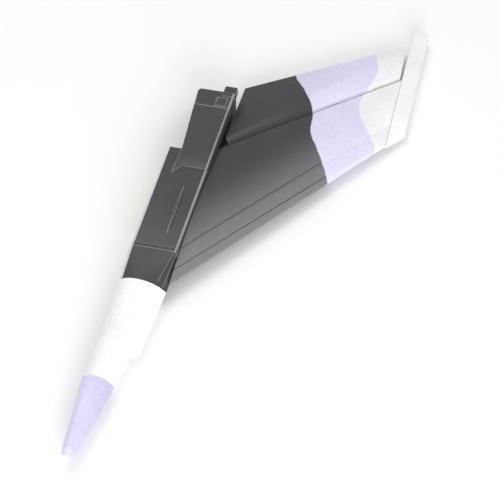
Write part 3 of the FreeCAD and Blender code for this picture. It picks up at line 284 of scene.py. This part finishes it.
def round_long_edges(piece, width, segments=2, angle=35):
    """Round the long hard edges alone, where short ones nearby would hold every corner sharp."""
    mesh = piece.data
    corners = mesh.vertices
    beside = {}
    for face in mesh.polygons:
        for key in face.edge_keys:
            beside.setdefault(key, []).append(face.normal)
    weights = mesh.attributes.new("bevel_weight_edge", "FLOAT", "EDGE")
    chosen = 0
    for edge in mesh.edges:
        normals = beside.get(edge.key, [])
        length = (corners[edge.vertices[0]].co - corners[edge.vertices[1]].co).length
        if len(normals) == 2 and length > LONG_MM * MM and normals[0].angle(normals[1]) > math.radians(angle):
            weights.data[edge.index].value = 1.0
            chosen += 1
    before = len(mesh.polygons)
    apply_modifier(piece, "BEVEL", width=width, segments=segments, limit_method="WEIGHT",
                   use_clamp_overlap=False, miter_outer="MITER_ARC")
    print(piece.name, "long edges rounded", chosen, "faces", before, "to", len(piece.data.polygons))


def round_corners(piece, width, segments=2, angle=35, rubbed=False):
    """Round every edge sharper than an angle; if asked, the bevels take the second material, a painted
    highlight.
    """
    apply_modifier(piece, "BEVEL", width=width, segments=segments, limit_method="ANGLE", material=int(rubbed),
                   angle_limit=math.radians(angle), use_clamp_overlap=True, miter_outer="MITER_ARC")


def finish_piece(piece, nodes, body, material, edge=None, angle=32):
    """Smooth a piece, dress it, seat it on its body and let it stand for its nodes."""
    activate(piece)
    bpy.ops.object.shade_smooth_by_angle(angle=math.radians(angle))
    piece.data.materials[0] = material
    piece.data.materials[1] = edge or material
    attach(piece, body)
    if nodes:
        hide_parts(*nodes)
    print(piece.name, len(piece.data.polygons), "faces")
    return piece


# %% [markdown]
# ## Paint on moulded foam
# The panel is expanded foam: beads of plastic that steam has pressed together in a mould.  Under a thin
# satin paint the beads still show as shallow cells about 3 mm across, with a fine sprayed grain on top.
# Cell borders come from a Voronoi texture, kept shallow because the mould presses the skin flat.  The
# three camouflage colours meet along soft hand-sprayed curves.  Each curve gives a distance outboard for
# every place along the panel, so a float curve holds it, and noise frays it.

# %% Foam texture and wear
BEAD_MM = 3.2
GRAIN_MM = 0.45
CLOUD_MM = 55.0
WEAR_MM = 0.9


def edge_mask(material, radius):
    """White along sharp edges: where the rounded normal leaves the true one."""
    rounded = add_node(material, "Bevel", {"Radius": radius * MM}, samples=4)
    true = add_node(material, "NewGeometry")
    along = add_node(material, "VectorMath", {0: rounded.outputs["Normal"], 1: true.outputs["Normal"]},
                     operation="DOT_PRODUCT")
    return spread(material, along.outputs["Value"], 0.995, 0.86, 0.0, 1.0)


def times(material, first, second):
    return add_node(material, "Math", {0: first, 1: second}, operation="MULTIPLY").outputs[0]


def blend_colours(material, factor, first, second, kind="MIX"):
    """Mix two colours by a factor; each may be a colour or an output."""
    made = material.node_tree.nodes.new("ShaderNodeMix")
    made.data_type = "RGBA"
    made.blend_type = kind
    for index, value in ((0, factor), (6, first), (7, second)):
        if isinstance(value, bpy.types.NodeSocket):
            material.node_tree.links.new(value, made.inputs[index])
        else:
            made.inputs[index].default_value = value
    return made.outputs[2]


def clouds(material, where, colour, size, amount):
    """Vary a colour's lightness softly, as an uneven spray coat does."""
    noise = add_node(material, "TexNoise", {"Vector": where, "Scale": per_mm(size), "Detail": 3.0})
    light = spread(material, noise.outputs["Fac"], 0.3, 0.7, 1.0 - amount, 1.0 + amount)
    return blend_colours(material, 1.0, colour, light, "MULTIPLY")


def foam_surface(material, shader, where, colour):
    """Beads, sprayed grain, uneven coat and rubbed edges over any paint colour."""
    cells = add_node(material, "TexVoronoi", {"Vector": where, "Scale": per_mm(BEAD_MM), "Randomness": 0.9},
                     feature="DISTANCE_TO_EDGE")
    border = spread(material, cells.outputs["Distance"], 0.0, 0.16, 0.0, 1.0, smooth=True)
    grain = add_node(material, "TexNoise", {"Vector": where, "Scale": per_mm(GRAIN_MM), "Detail": 2.0})
    dents = add_node(material, "TexNoise", {"Vector": where, "Scale": per_mm(14.0), "Detail": 1.0})
    bead_bump = relief(material, border, 0.16, 0.10)
    dent_bump = relief(material, dents.outputs["Fac"], 0.12, 0.6, bead_bump)
    grain_bump = relief(material, grain.outputs["Fac"], 0.22, 0.10, dent_bump)
    cloudy = clouds(material, where, colour, CLOUD_MM, 0.04)
    fleck = clouds(material, where, cloudy, 1.6, 0.05)
    shaded = blend_colours(material, times(material, 0.10, add_node(
        material, "Math", {0: 1.0, 1: border}, operation="SUBTRACT").outputs[0]),
        fleck, linear("#101012"))
    chips = add_node(material, "TexNoise", {"Vector": where, "Scale": per_mm(4.0), "Detail": 5.0})
    chipped = spread(material, chips.outputs["Fac"], 0.50, 0.66, 0.02, 0.30)
    worn = times(material, edge_mask(material, WEAR_MM), chipped)
    final = blend_colours(material, worn, shaded, linear("#b9b7bd"))
    rough = spread(material, chips.outputs["Fac"], 0.3, 0.7, 0.36, 0.50)
    plug(material, shader, Base_Color=final, Normal=grain_bump,
         Roughness=rough)


# %% Camouflage masks
# The second, lighter charcoal is a painted sheen near the leading edge.
CHARCOAL, SHEEN_CHARCOAL, LAVENDER, WHITE = "#343337", "#7a757b", "#dad8f1", "#efeff2"
COVER_CHARCOAL = "#39373b"
FRAY_MM = 0.9
PLAN_Y0, PLAN_Y1 = -40.0, 330.0         # the stretch of the panel that the curves cover
PLAN_X = 300.0                          # a curve value of 1 in millimetres outboard
CHARCOAL_EDGE = ((199, 23), (179, 65), (163, 97), (157, 138), (138, 176), (122, 200))
LAVENDER_EDGE = ((246, 88), (232, 116), (216, 142), (211, 170), (216, 200), (222, 234), (216, 258))


def outboard_of(material, where, edge):
    """0 inboard of a hand-sprayed edge and 1 outboard of it."""
    split = add_node(material, "SeparateXYZ", {"Vector": where})
    along = spread(material, split.outputs["Y"], PLAN_Y0 * MM, PLAN_Y1 * MM, 0.0, 1.0)
    curve_node = add_node(material, "FloatCurve", {"Value": along})
    points = curve_node.mapping.curves[0].points
    places = [((y - PLAN_Y0) / (PLAN_Y1 - PLAN_Y0), x / PLAN_X) for x, y in edge]
    places = [(0.0, places[0][1] + 0.05)] + places + [(1.0, places[-1][1] - 0.05)]
    while len(points) < len(places):
        points.new(0.5, 0.5)
    for point, place in zip(points, places):
        point.location = place
    curve_node.mapping.update()
    limit = times(material, curve_node.outputs["Value"], PLAN_X * MM)
    fray = add_node(material, "TexNoise", {"Vector": where, "Scale": per_mm(11.0), "Detail": 2.0})
    shift = spread(material, fray.outputs["Fac"], 0.0, 1.0, -FRAY_MM * MM, FRAY_MM * MM)
    past = add_node(material, "Math", {0: split.outputs["X"], 1: limit}, operation="SUBTRACT")
    frayed = add_node(material, "Math", {0: past.outputs[0], 1: shift}, operation="ADD")
    return spread(material, frayed.outputs[0], -0.9 * MM, 0.9 * MM, 0.0, 1.0, smooth=True)


LE_X, LE_Y, SWEEP = 50.0, -189.5, 1.40  # the leading edge starts here and sweeps back this steeply
SHEEN_FADE_MM = 150.0                         # painted sheen: the charcoal is painted lighter towards the edge, fading over this much
GROOVE_SHADE_LINES = ((18.5, 1.3), (49.5, 1.3))    # painted shade in two groove lines: how far behind the edge, half width


def behind_the_edge(material, where):
    """How far aft of the leading edge a point lies, in metres."""
    split = add_node(material, "SeparateXYZ", {"Vector": where})
    swept = add_node(material, "Math", {0: split.outputs["X"], 1: SWEEP}, operation="MULTIPLY")
    aft = add_node(material, "Math", {0: split.outputs["Y"], 1: swept.outputs[0]}, operation="SUBTRACT")
    return add_node(material, "Math", {0: aft.outputs[0], 1: (LE_X * SWEEP - LE_Y) * MM},
                    operation="ADD").outputs[0]


def groove_shade_line(material, distance, place, half_width):
    """1 along a line at this distance and 0 away from it."""
    off = add_node(material, "Math", {0: distance, 1: place * MM}, operation="SUBTRACT")
    size = add_node(material, "Math", {0: off.outputs[0]}, operation="ABSOLUTE")
    return spread(material, size.outputs[0], 0.5 * half_width * MM, half_width * MM, 1.0, 0.0)


def camouflage_paint():
    """Charcoal, lavender and white on the wing, each past its own curve; the charcoal has a painted sheen and
    painted groove shade.
    """
    material, shader, where = start_material("sprayed_camouflage_on_foam", 0.42)
    distance = behind_the_edge(material, where)
    # Painted sheen: the charcoal is painted lighter towards the leading edge, where the light reflects.
    coat = spread(material, distance, 0.0, SHEEN_FADE_MM * MM, 0.0, 1.0, smooth=True)
    dark = blend_colours(material, coat, linear(SHEEN_CHARCOAL), linear(CHARCOAL))
    # Painted shade: two dark lines where the strip's joint and the crease run, standing in for shade in the
    # grooves.
    for place, half_width in GROOVE_SHADE_LINES:
        groove_shade = times(material, groove_shade_line(material, distance, place, half_width), 0.9)
        dark = blend_colours(material, groove_shade, dark, linear("#1d1c1f"))
    second = blend_colours(material, outboard_of(material, where, CHARCOAL_EDGE), dark, linear(LAVENDER))
    third = blend_colours(material, outboard_of(material, where, LAVENDER_EDGE), second, linear(WHITE))
    foam_surface(material, shader, where, third)
    return material


def plain_foam_paint(name, code):
    material, shader, where = start_material(name, 0.42)
    foam_surface(material, shader, where, linear(code))
    return material


camouflage = camouflage_paint()
white_foam = plain_foam_paint("white_sprayed_foam", WHITE)
charcoal_foam = plain_foam_paint("charcoal_sprayed_foam", CHARCOAL)
print("camouflage paint has", len(camouflage.node_tree.nodes), "nodes")

# %% [markdown]
# ## Two-tone paint on the root body and the nose
# The root body is one moulding in two colours: white in front and along the flange that meets the
# fuselage, charcoal under the fairing.  The line follows the mould, so two straight limits make it, one
# along the panel and one outboard.  The nose cap's lavender is painted darker down its outboard side, a
# painted shade where the round nose turns away from the light.

# %% Root body and nose paint
PAINT_FRONT_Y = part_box("fairing_front_cover")[0].y
FLANGE_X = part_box("fairing_front_cover")[0].x


def step_at(material, value, place, softness):
    """0 below a place and 1 above it, over a short soft stretch."""
    return spread(material, value, place - softness, place + softness, 0.0, 1.0, smooth=True)


def root_body_paint():
    material, shader, where = start_material("white_and_charcoal_root_paint", 0.42)
    split = add_node(material, "SeparateXYZ", {"Vector": where})
    behind = step_at(material, split.outputs["Y"], PAINT_FRONT_Y, 0.25 * MM)
    outboard = step_at(material, split.outputs["X"], FLANGE_X, 0.25 * MM)
    both = times(material, behind, outboard)
    foam_surface(material, shader, where, blend_colours(material, both, linear(WHITE), linear(CHARCOAL)))
    return material


def nose_paint():
    material, shader, where = start_material("lavender_nose_paint", 0.40)
    split = add_node(material, "SeparateXYZ", {"Vector": where})
    # Painted shade: the lavender darkens outboard, where the rounded nose turns away from the light.
    side = spread(material, split.outputs["X"], 8 * MM, 34 * MM, 0.0, 1.0)
    nose_side_shade = blend_colours(material, side, linear("#d8d5f2"), linear("#bdbad6"))
    foam_surface(material, shader, where, nose_side_shade)
    return material


root_paint = root_body_paint()
lavender_nose = nose_paint()
print("root paint turns charcoal behind", round(PAINT_FRONT_Y / MM, 1), "mm")

# %% [markdown]
# ## Painted plastic covers
# The fairing's covers are thin ABS sheet, pulled hot over a mould and sprayed in the same charcoal.  Such
# a cover is smoother than the foam: no beads, a slight orange peel, and light scratches that run along it
# from handling.  Its edges are painted lighter, a painted highlight that draws every seam.

# %% Cover paint
def cover_paint(name, code, highlight_code):
    material, shader, where = start_material(name, 0.38)
    stretch = add_node(material, "Mapping", {"Vector": where, "Scale": (1.0, 0.06, 1.0)})
    peel = add_node(material, "TexNoise", {"Vector": where, "Scale": per_mm(2.2), "Detail": 2.0})
    scratch = add_node(material, "TexNoise", {"Vector": stretch.outputs["Vector"], "Scale": per_mm(0.9),
                                              "Detail": 3.0})
    peel_bump = relief(material, peel.outputs["Fac"], 0.25, 0.12)
    fine_bump = relief(material, scratch.outputs["Fac"], 0.10, 0.05, peel_bump)
    cloudy = clouds(material, where, linear(code), 38.0, 0.07)
    marks = spread(material, scratch.outputs["Fac"], 0.66, 0.74, 0.0, 0.16)
    scratched = blend_colours(material, marks, cloudy, linear("#8c8a91"))
    # Painted highlight: sharp edges are painted lighter, which draws every seam.
    edge_highlight = times(material, edge_mask(material, 1.1), 0.75)
    highlighted = blend_colours(material, edge_highlight, scratched, linear(highlight_code))
    rough = spread(material, peel.outputs["Fac"], 0.3, 0.7, 0.34, 0.46)
    plug(material, shader, Base_Color=highlighted, Normal=fine_bump,
         Roughness=rough)
    return material


# The lighter second cover paint is a painted highlight for bevels and rolled-over edges.
sheet_paint = cover_paint("charcoal_sprayed_abs_sheet", COVER_CHARCOAL, "#a5a2a8")
edge_highlight_paint = cover_paint("painted_highlight_on_abs_sheet_edge", "#8d8a90", "#b0adb3")
print("cover paint has", len(sheet_paint.node_tree.nodes), "nodes")

# %% [markdown]
# ## Finishes of the inner parts
# The small parts keep their frame shapes and get finishes of their own.  Most are a base colour that
# drifts a little, with a fine grain in the bump and in the roughness.  One function makes those.  Three
# need a pattern: the carbon tubes show a 2 mm weave, the plywood shows its layers on the edge, and turned
# or brushed metal shows fine lines round the part.

# %% Plain moulded, coated and metal finishes
def fine_finish(name, code, second, roughness, grain_mm, stretch=(1.0, 1.0, 1.0), drift=18.0, depth=0.05,
                **sockets):
    """Two close tones that drift, a grain that may be stretched, and rubbed edges."""
    material, shader, where = start_material(name, roughness, **sockets)
    drawn = add_node(material, "Mapping", {"Vector": where, "Scale": stretch}).outputs["Vector"]
    grain = add_node(material, "TexNoise", {"Vector": drawn, "Scale": per_mm(grain_mm), "Detail": 4.0})
    tone = ramp(material, grain.outputs["Fac"], (0.32, code), (0.68, second))
    cloudy = clouds(material, where, tone, drift, 0.08)
    worn = blend_colours(material, times(material, edge_mask(material, 0.3), 0.25), cloudy, linear("#c4c2c0"))
    bump = relief(material, grain.outputs["Fac"], 0.3, depth)
    rough = spread(material, grain.outputs["Fac"], 0.3, 0.7, roughness - 0.06, roughness + 0.08)
    plug(material, shader, Base_Color=worn, Normal=bump, Roughness=rough)
    return material


inner = {
    "brass": fine_finish("turned_brass", "#c9a24a", "#b58d3a", 0.28, 0.12, (0.05, 1, 1), Metallic=1.0),
    "white_nylon": fine_finish("moulded_white_nylon", "#ecebe4", "#e2e1d8", 0.45, 0.5, IOR=1.53),
    "servo_plastic": fine_finish("moulded_servo_plastic", "#1d1d20", "#26262a", 0.42, 0.35),
    "plated_steel": fine_finish("zinc_plated_steel", "#b9bbbe", "#a5a8ac", 0.30, 0.10, (1, 0.06, 1),
                                Metallic=1.0),
    "motor_can": fine_finish("brushed_motor_can", "#a9abae", "#c2c4c6", 0.32, 0.08, (1, 0.05, 1),
                             Metallic=1.0),
    "circuit_board": fine_finish("solder_masked_circuit_board", "#15522c", "#1d6a3a", 0.35, 0.9, depth=0.08),
    "tray_plastic": fine_finish("moulded_black_tray", "#202022", "#2b2b2d", 0.50, 0.6),
    "silicone": fine_finish("silicone_tube", "#b7c4cc", "#a7b5be", 0.38, 0.8, IOR=1.41),
    "lead_insulation": fine_finish("extruded_lead_insulation", "#3a2320", "#4a2e28", 0.48, 0.4,
                                   (0.1, 0.1, 1)),
}
print(len(inner), "plain finishes")


# %% Carbon weave and birch plywood
PLY_PAIR_MM = 1.4                       # a light and a dark ply
WAVE_RADIANS = 20                       # a wave texture runs this far per unit of its scale


def carbon_finish():
    """Two sets of threads that cross, 2 mm apart, under a clear resin."""
    material, shader, where = start_material("carbon_fibre_tube", 0.30, Coat_Weight=0.4, Coat_Roughness=0.12)
    turned = add_node(material, "Mapping", {"Vector": where, "Rotation": (0.6, 0.4, math.radians(45))})
    squares = add_node(material, "TexChecker", {"Vector": turned.outputs["Vector"], "Scale": per_mm(2.0)})
    thread = add_node(material, "TexNoise", {"Vector": turned.outputs["Vector"], "Scale": per_mm(0.25),
                                             "Detail": 3.0})
    dark = ramp(material, thread.outputs["Fac"], (0.3, "#0f0f11"), (0.7, "#1c1c20"))
    light = ramp(material, thread.outputs["Fac"], (0.3, "#232329"), (0.7, "#34343b"))
    cloth = blend_colours(material, squares.outputs["Fac"], dark, light)
    bump = relief(material, thread.outputs["Fac"], 0.3, 0.05)
    uneven = clouds(material, where, cloth, 20.0, 0.1)
    plug(material, shader, Base_Color=uneven, Normal=bump)
    return material


def plywood_finish():
    """Pale birch, with plies 0.7 mm thick stacked through the rib and grain along it."""
    material, shader, where = start_material("birch_plywood", 0.62)
    waves = per_mm(PLY_PAIR_MM) * 2 * math.pi / WAVE_RADIANS
    plies = add_node(material, "TexWave", {"Vector": where, "Scale": waves, "Distortion": 0.3, "Detail": 2.0,
                                           "Detail Scale": 40.0}, bands_direction="X")
    drawn = add_node(material, "Mapping", {"Vector": where, "Scale": (1.0, 0.08, 1.0)}).outputs["Vector"]
    grain = add_node(material, "TexNoise", {"Vector": drawn, "Scale": per_mm(0.8), "Detail": 6.0})
    wood = ramp(material, grain.outputs["Fac"], (0.3, "#c29a66"), (0.7, "#dcbd8d"))
    layered = blend_colours(material, times(material, plies.outputs["Fac"], 0.45), wood, linear("#8d6238"))
    bump = relief(material, grain.outputs["Fac"], 0.4, 0.08)
    plug(material, shader, Base_Color=layered, Normal=bump)
    return material


inner["carbon_tube"] = carbon_finish()
inner["birch_plywood"] = plywood_finish()
print(len(inner), "inner finishes")

# %% Dress every frame node by its record slot
paints = {"charcoal_foam": charcoal_foam, "white_foam": white_foam, "lavender_foam": lavender_nose,
          "charcoal_abs": sheet_paint}
slot_of = {part["node"]: part["material_slot"] for part in frame["record"]["subparts"]}
for node, thing in frame["nodes"].items():
    finish_for_slot = inner.get(slot_of[node]) or paints.get(slot_of[node])
    thing.data.materials.clear()
    thing.data.materials.append(finish_for_slot)
print(len(slot_of), "nodes in", len(set(slot_of.values())), "slots")

# %% [markdown]
# ## Foam skins
# Each foam piece came out of its own mould, so its corners are never sharp: they carry a radius of half
# a millimetre or so.  The welded copy gets a bevel along its hard edges.  A bevel catches a line of light
# along the edge, which is most of what makes foam look like foam.  On pieces with pockets and small
# bores, only hard edges longer than 4 mm are rounded, because a short edge holds the bevel of all the
# others back.

# %% Foam skins
FOAM_SKINS = {
    "strake_nose_cap": (lavender_nose, 0.5), "strake_fore_section": (white_foam, 0.35),
    "strake_and_root_body": (root_paint, 0.35), "rear_root_body": (charcoal_foam, 0.35),
    "wing_core": (camouflage, 0.35), "leading_edge_strip": (camouflage, 0.35), "tip_rail": (white_foam, 0.5),
}
CROWDED = ("strake_nose_cap", "strake_fore_section", "strake_and_root_body", "rear_root_body", "wing_core",
           "leading_edge_strip")
skins = {}
for node, (paint, radius) in FOAM_SKINS.items():
    skins[node] = welded_copy(node)
    if node in CROWDED:
        round_long_edges(skins[node], radius * MM)
    else:
        round_corners(skins[node], radius * MM)

# %% [markdown]
# ## The elevon
# The elevon is one foam piece with a bevelled front, so that it can swing under the hinge line.  Its
# trailing edge is thin and takes most of the knocks, so it gets a rounder edge than the wing's.

# %% Elevon skin
skins["elevon"] = welded_copy("elevon")
round_corners(skins["elevon"], 0.4 * MM)
print("elevon faces", len(skins["elevon"].data.polygons))

# %% [markdown]
# ## Fairing covers
# A cover pulled over a mould has a soft radius on its outer corners and a crisp cut edge below.  The tail
# cap and the rear cover are pressed sheets that meet at narrow seams.

# %% Fairing skins
COVER_SKINS = {"fairing_front_cover": 0.5, "fairing_joint_band": 0.2, "fairing_main_cover": 0.6,
               "fairing_rib": 0.5, "fairing_rear_cover": 0.6, "fairing_tail_cap": 0.6, "hatch_cover": 0.25,
               "tail_tab": 0.6, "servo_pocket_lid": 0.3}
for node, radius in COVER_SKINS.items():
    skins[node] = welded_copy(node)
    # Cover bevels take the second material, a painted highlight.
    round_corners(skins[node], radius * MM, segments=3, rubbed=True)
    print(node, "faces", len(skins[node].data.polygons))

# %% [markdown]
# ## Panel lines
# The short line across the tail cap is scribed in the mould, so it is a real groove 0.7 mm wide.  The
# seam in front of the cap is eased in the same way.  A plane cuts the skin where the
# line runs.  The new edges on the upper side are bevelled into a narrow strip with a loop along its
# middle, and that loop is pushed inward.


# %% Panel lines
GROOVE_MM = 0.7


def scribe(piece, point, normal, low_end, high_end, depth=0.5):
    """A groove where a plane cuts the skin, between two corners of a box given in millimetres."""
    activate(piece)
    bpy.ops.object.mode_set(mode="EDIT")
    bpy.ops.mesh.select_all(action="SELECT")
    bpy.ops.mesh.bisect(plane_co=[c * MM for c in point], plane_no=normal)
    bpy.ops.object.mode_set(mode="OBJECT")
    axis = Vector(normal).normalized()

    def on_line(spot, off=0.01):
        inside = all(a * MM <= c <= b * MM for a, b, c in zip(low_end, high_end, spot))
        return inside and abs((spot - Vector(point) * MM).dot(axis)) < off * MM

    found = pick_edges(piece, lambda a, b: on_line(a) and on_line(b) and (a - b).length > 0.02 * MM)
    if found:
        bevel_picked(GROOVE_MM * MM / 2, segments=2)
        pick_edges(piece, lambda a, b: on_line(a, 0.03) and on_line(b, 0.03))
        bpy.ops.transform.shrink_fatten(value=-depth * MM)
    bpy.ops.object.mode_set(mode="OBJECT")
    print(piece.name, "groove over", found, "edges")


ANYWHERE = 500.0
scribe(skins["fairing_tail_cap"], (0, 100, 0), (0, 1, 0), (-ANYWHERE, 99, 4), (ANYWHERE, 101, ANYWHERE))
scribe(skins["fairing_tail_cap"], (0, 122, 0), (0, 1, 0), (40, 121, 4), (ANYWHERE, 123, ANYWHERE))

# %% [markdown]
# ## The front cover
# The front cover carries the shape from the round root body to the boxy main cover.  Its two pressed
# ridges are the corners of the box, which fade forward into the round section.  It starts as a flat grid.
# Each row gets a section between two that are measured off the frame: the body just ahead of the cover,
# and the band just behind it.  The sheet then gets its thickness inward, and rounded edges.


# %% Front cover
FRONT_STATIONS = (5.5, 5.6, 8, 15, 25, 35, 42, 44.5, 52, 55.4)       # places outboard on the front edge
REAR_STATIONS = (5.5, 5.6, 8, 15, 25, 36, 47, 54.4, 56.9, 57.3)      # the same places on the rear edge
SHEET_MM = 0.6
LIP_Z = 2.5                             # how low the cover's outboard lip hangs at its rear
EVEN, LATE = 0.6, 0.4                   # the section rises evenly and also late; the two shares


def height_of(node, x, y, otherwise):
    """The top of a frame node at a place in millimetres."""
    hit, spot, _, _ = frame["nodes"][node].ray_cast(Vector((x * MM, y * MM, 0.1)), Vector((0, 0, -1)))
    return spot.z / MM if hit else otherwise


def front_cover():
    cover_low, cover_high = (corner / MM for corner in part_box("fairing_front_cover"))
    front = [(x, height_of("strake_and_root_body", x, cover_low.y - 1.0, 0.5)) for x in FRONT_STATIONS]
    rear = [(x, height_of("fairing_joint_band", x, cover_high.y + 1.5, 7.0)) for x in REAR_STATIONS]
    front[0] = (FRONT_STATIONS[0], cover_low.z)
    rear[0] = (REAR_STATIONS[0], cover_low.z)
    rear[-1] = (REAR_STATIONS[-1], LIP_Z)
    bpy.ops.object.select_all(action="DESELECT")
    bpy.ops.mesh.primitive_grid_add(x_subdivisions=len(front) - 1, y_subdivisions=32, size=1.0)
    piece = bpy.context.object
    piece.name = "fairing_front_cover_skin"
    for vertex in piece.data.vertices:
        station = round((vertex.co.x + 0.5) * (len(front) - 1))
        run = vertex.co.y + 0.5
        (x0, z0), (x1, z1) = front[station], rear[station]
        lift = run * run * (3 - 2 * run)
        y = cover_low.y + run * (cover_high.y - cover_low.y)
        vertex.co = Vector((x0 + (x1 - x0) * run, y, z0 + (z1 - z0) * (EVEN * run + LATE * lift))) * MM
    apply_modifier(piece, "SOLIDIFY", thickness=SHEET_MM * MM, offset=-1.0)
    empty_slots(piece)
    # The bevels take the second material, a painted highlight.
    round_corners(piece, 0.25 * MM, segments=2, angle=15, rubbed=True)
    return piece


bpy.data.objects.remove(skins.pop("fairing_front_cover"))
skins["fairing_front_cover"] = front_cover()
print("front cover faces", len(skins["fairing_front_cover"].data.polygons))

# %% [markdown]
# ## Painted highlights on the fairing edges
# The covers' long upper edges are painted lighter, a painted highlight that reads as a light line.
# The faces where the top starts to roll over are given the highlight paint.

# %% Paint highlights on the long edges
ROLL_LOW, ROLL_HIGH = 0.72, 0.97        # how upright a face still is where the line runs


def paint_highlight_roll(piece, outward_signs):
    """Give the painted highlight to faces that start to roll over the long sides."""
    count = 0
    for face in piece.data.polygons:
        sideways = abs(face.normal.x) > 0.2 and (1 if face.normal.x > 0 else -1) in outward_signs
        if sideways and ROLL_LOW < face.normal.z < ROLL_HIGH and abs(face.normal.y) < 0.2:
            face.material_index = 1
            count += 1
    print(piece.name, "rubbed faces", count)


# Painted highlight on the faces where the covers roll over their long sides.
for node in ("fairing_joint_band", "fairing_main_cover"):
    paint_highlight_roll(skins[node], (1,))
for node in ("fairing_rear_cover", "fairing_tail_cap"):
    paint_highlight_roll(skins[node], (1, -1))

# %% Seat the skins
for node, piece in skins.items():
    on = "elevon" if node == "elevon" else "wing_panel"
    paint = FOAM_SKINS[node][0] if node in FOAM_SKINS else camouflage if node == "elevon" else sheet_paint
    # Covers get the painted highlight as their second material; foam gets its own paint twice.
    finish_piece(piece, [node], on, paint, edge_highlight_paint if paint is sheet_paint else paint)
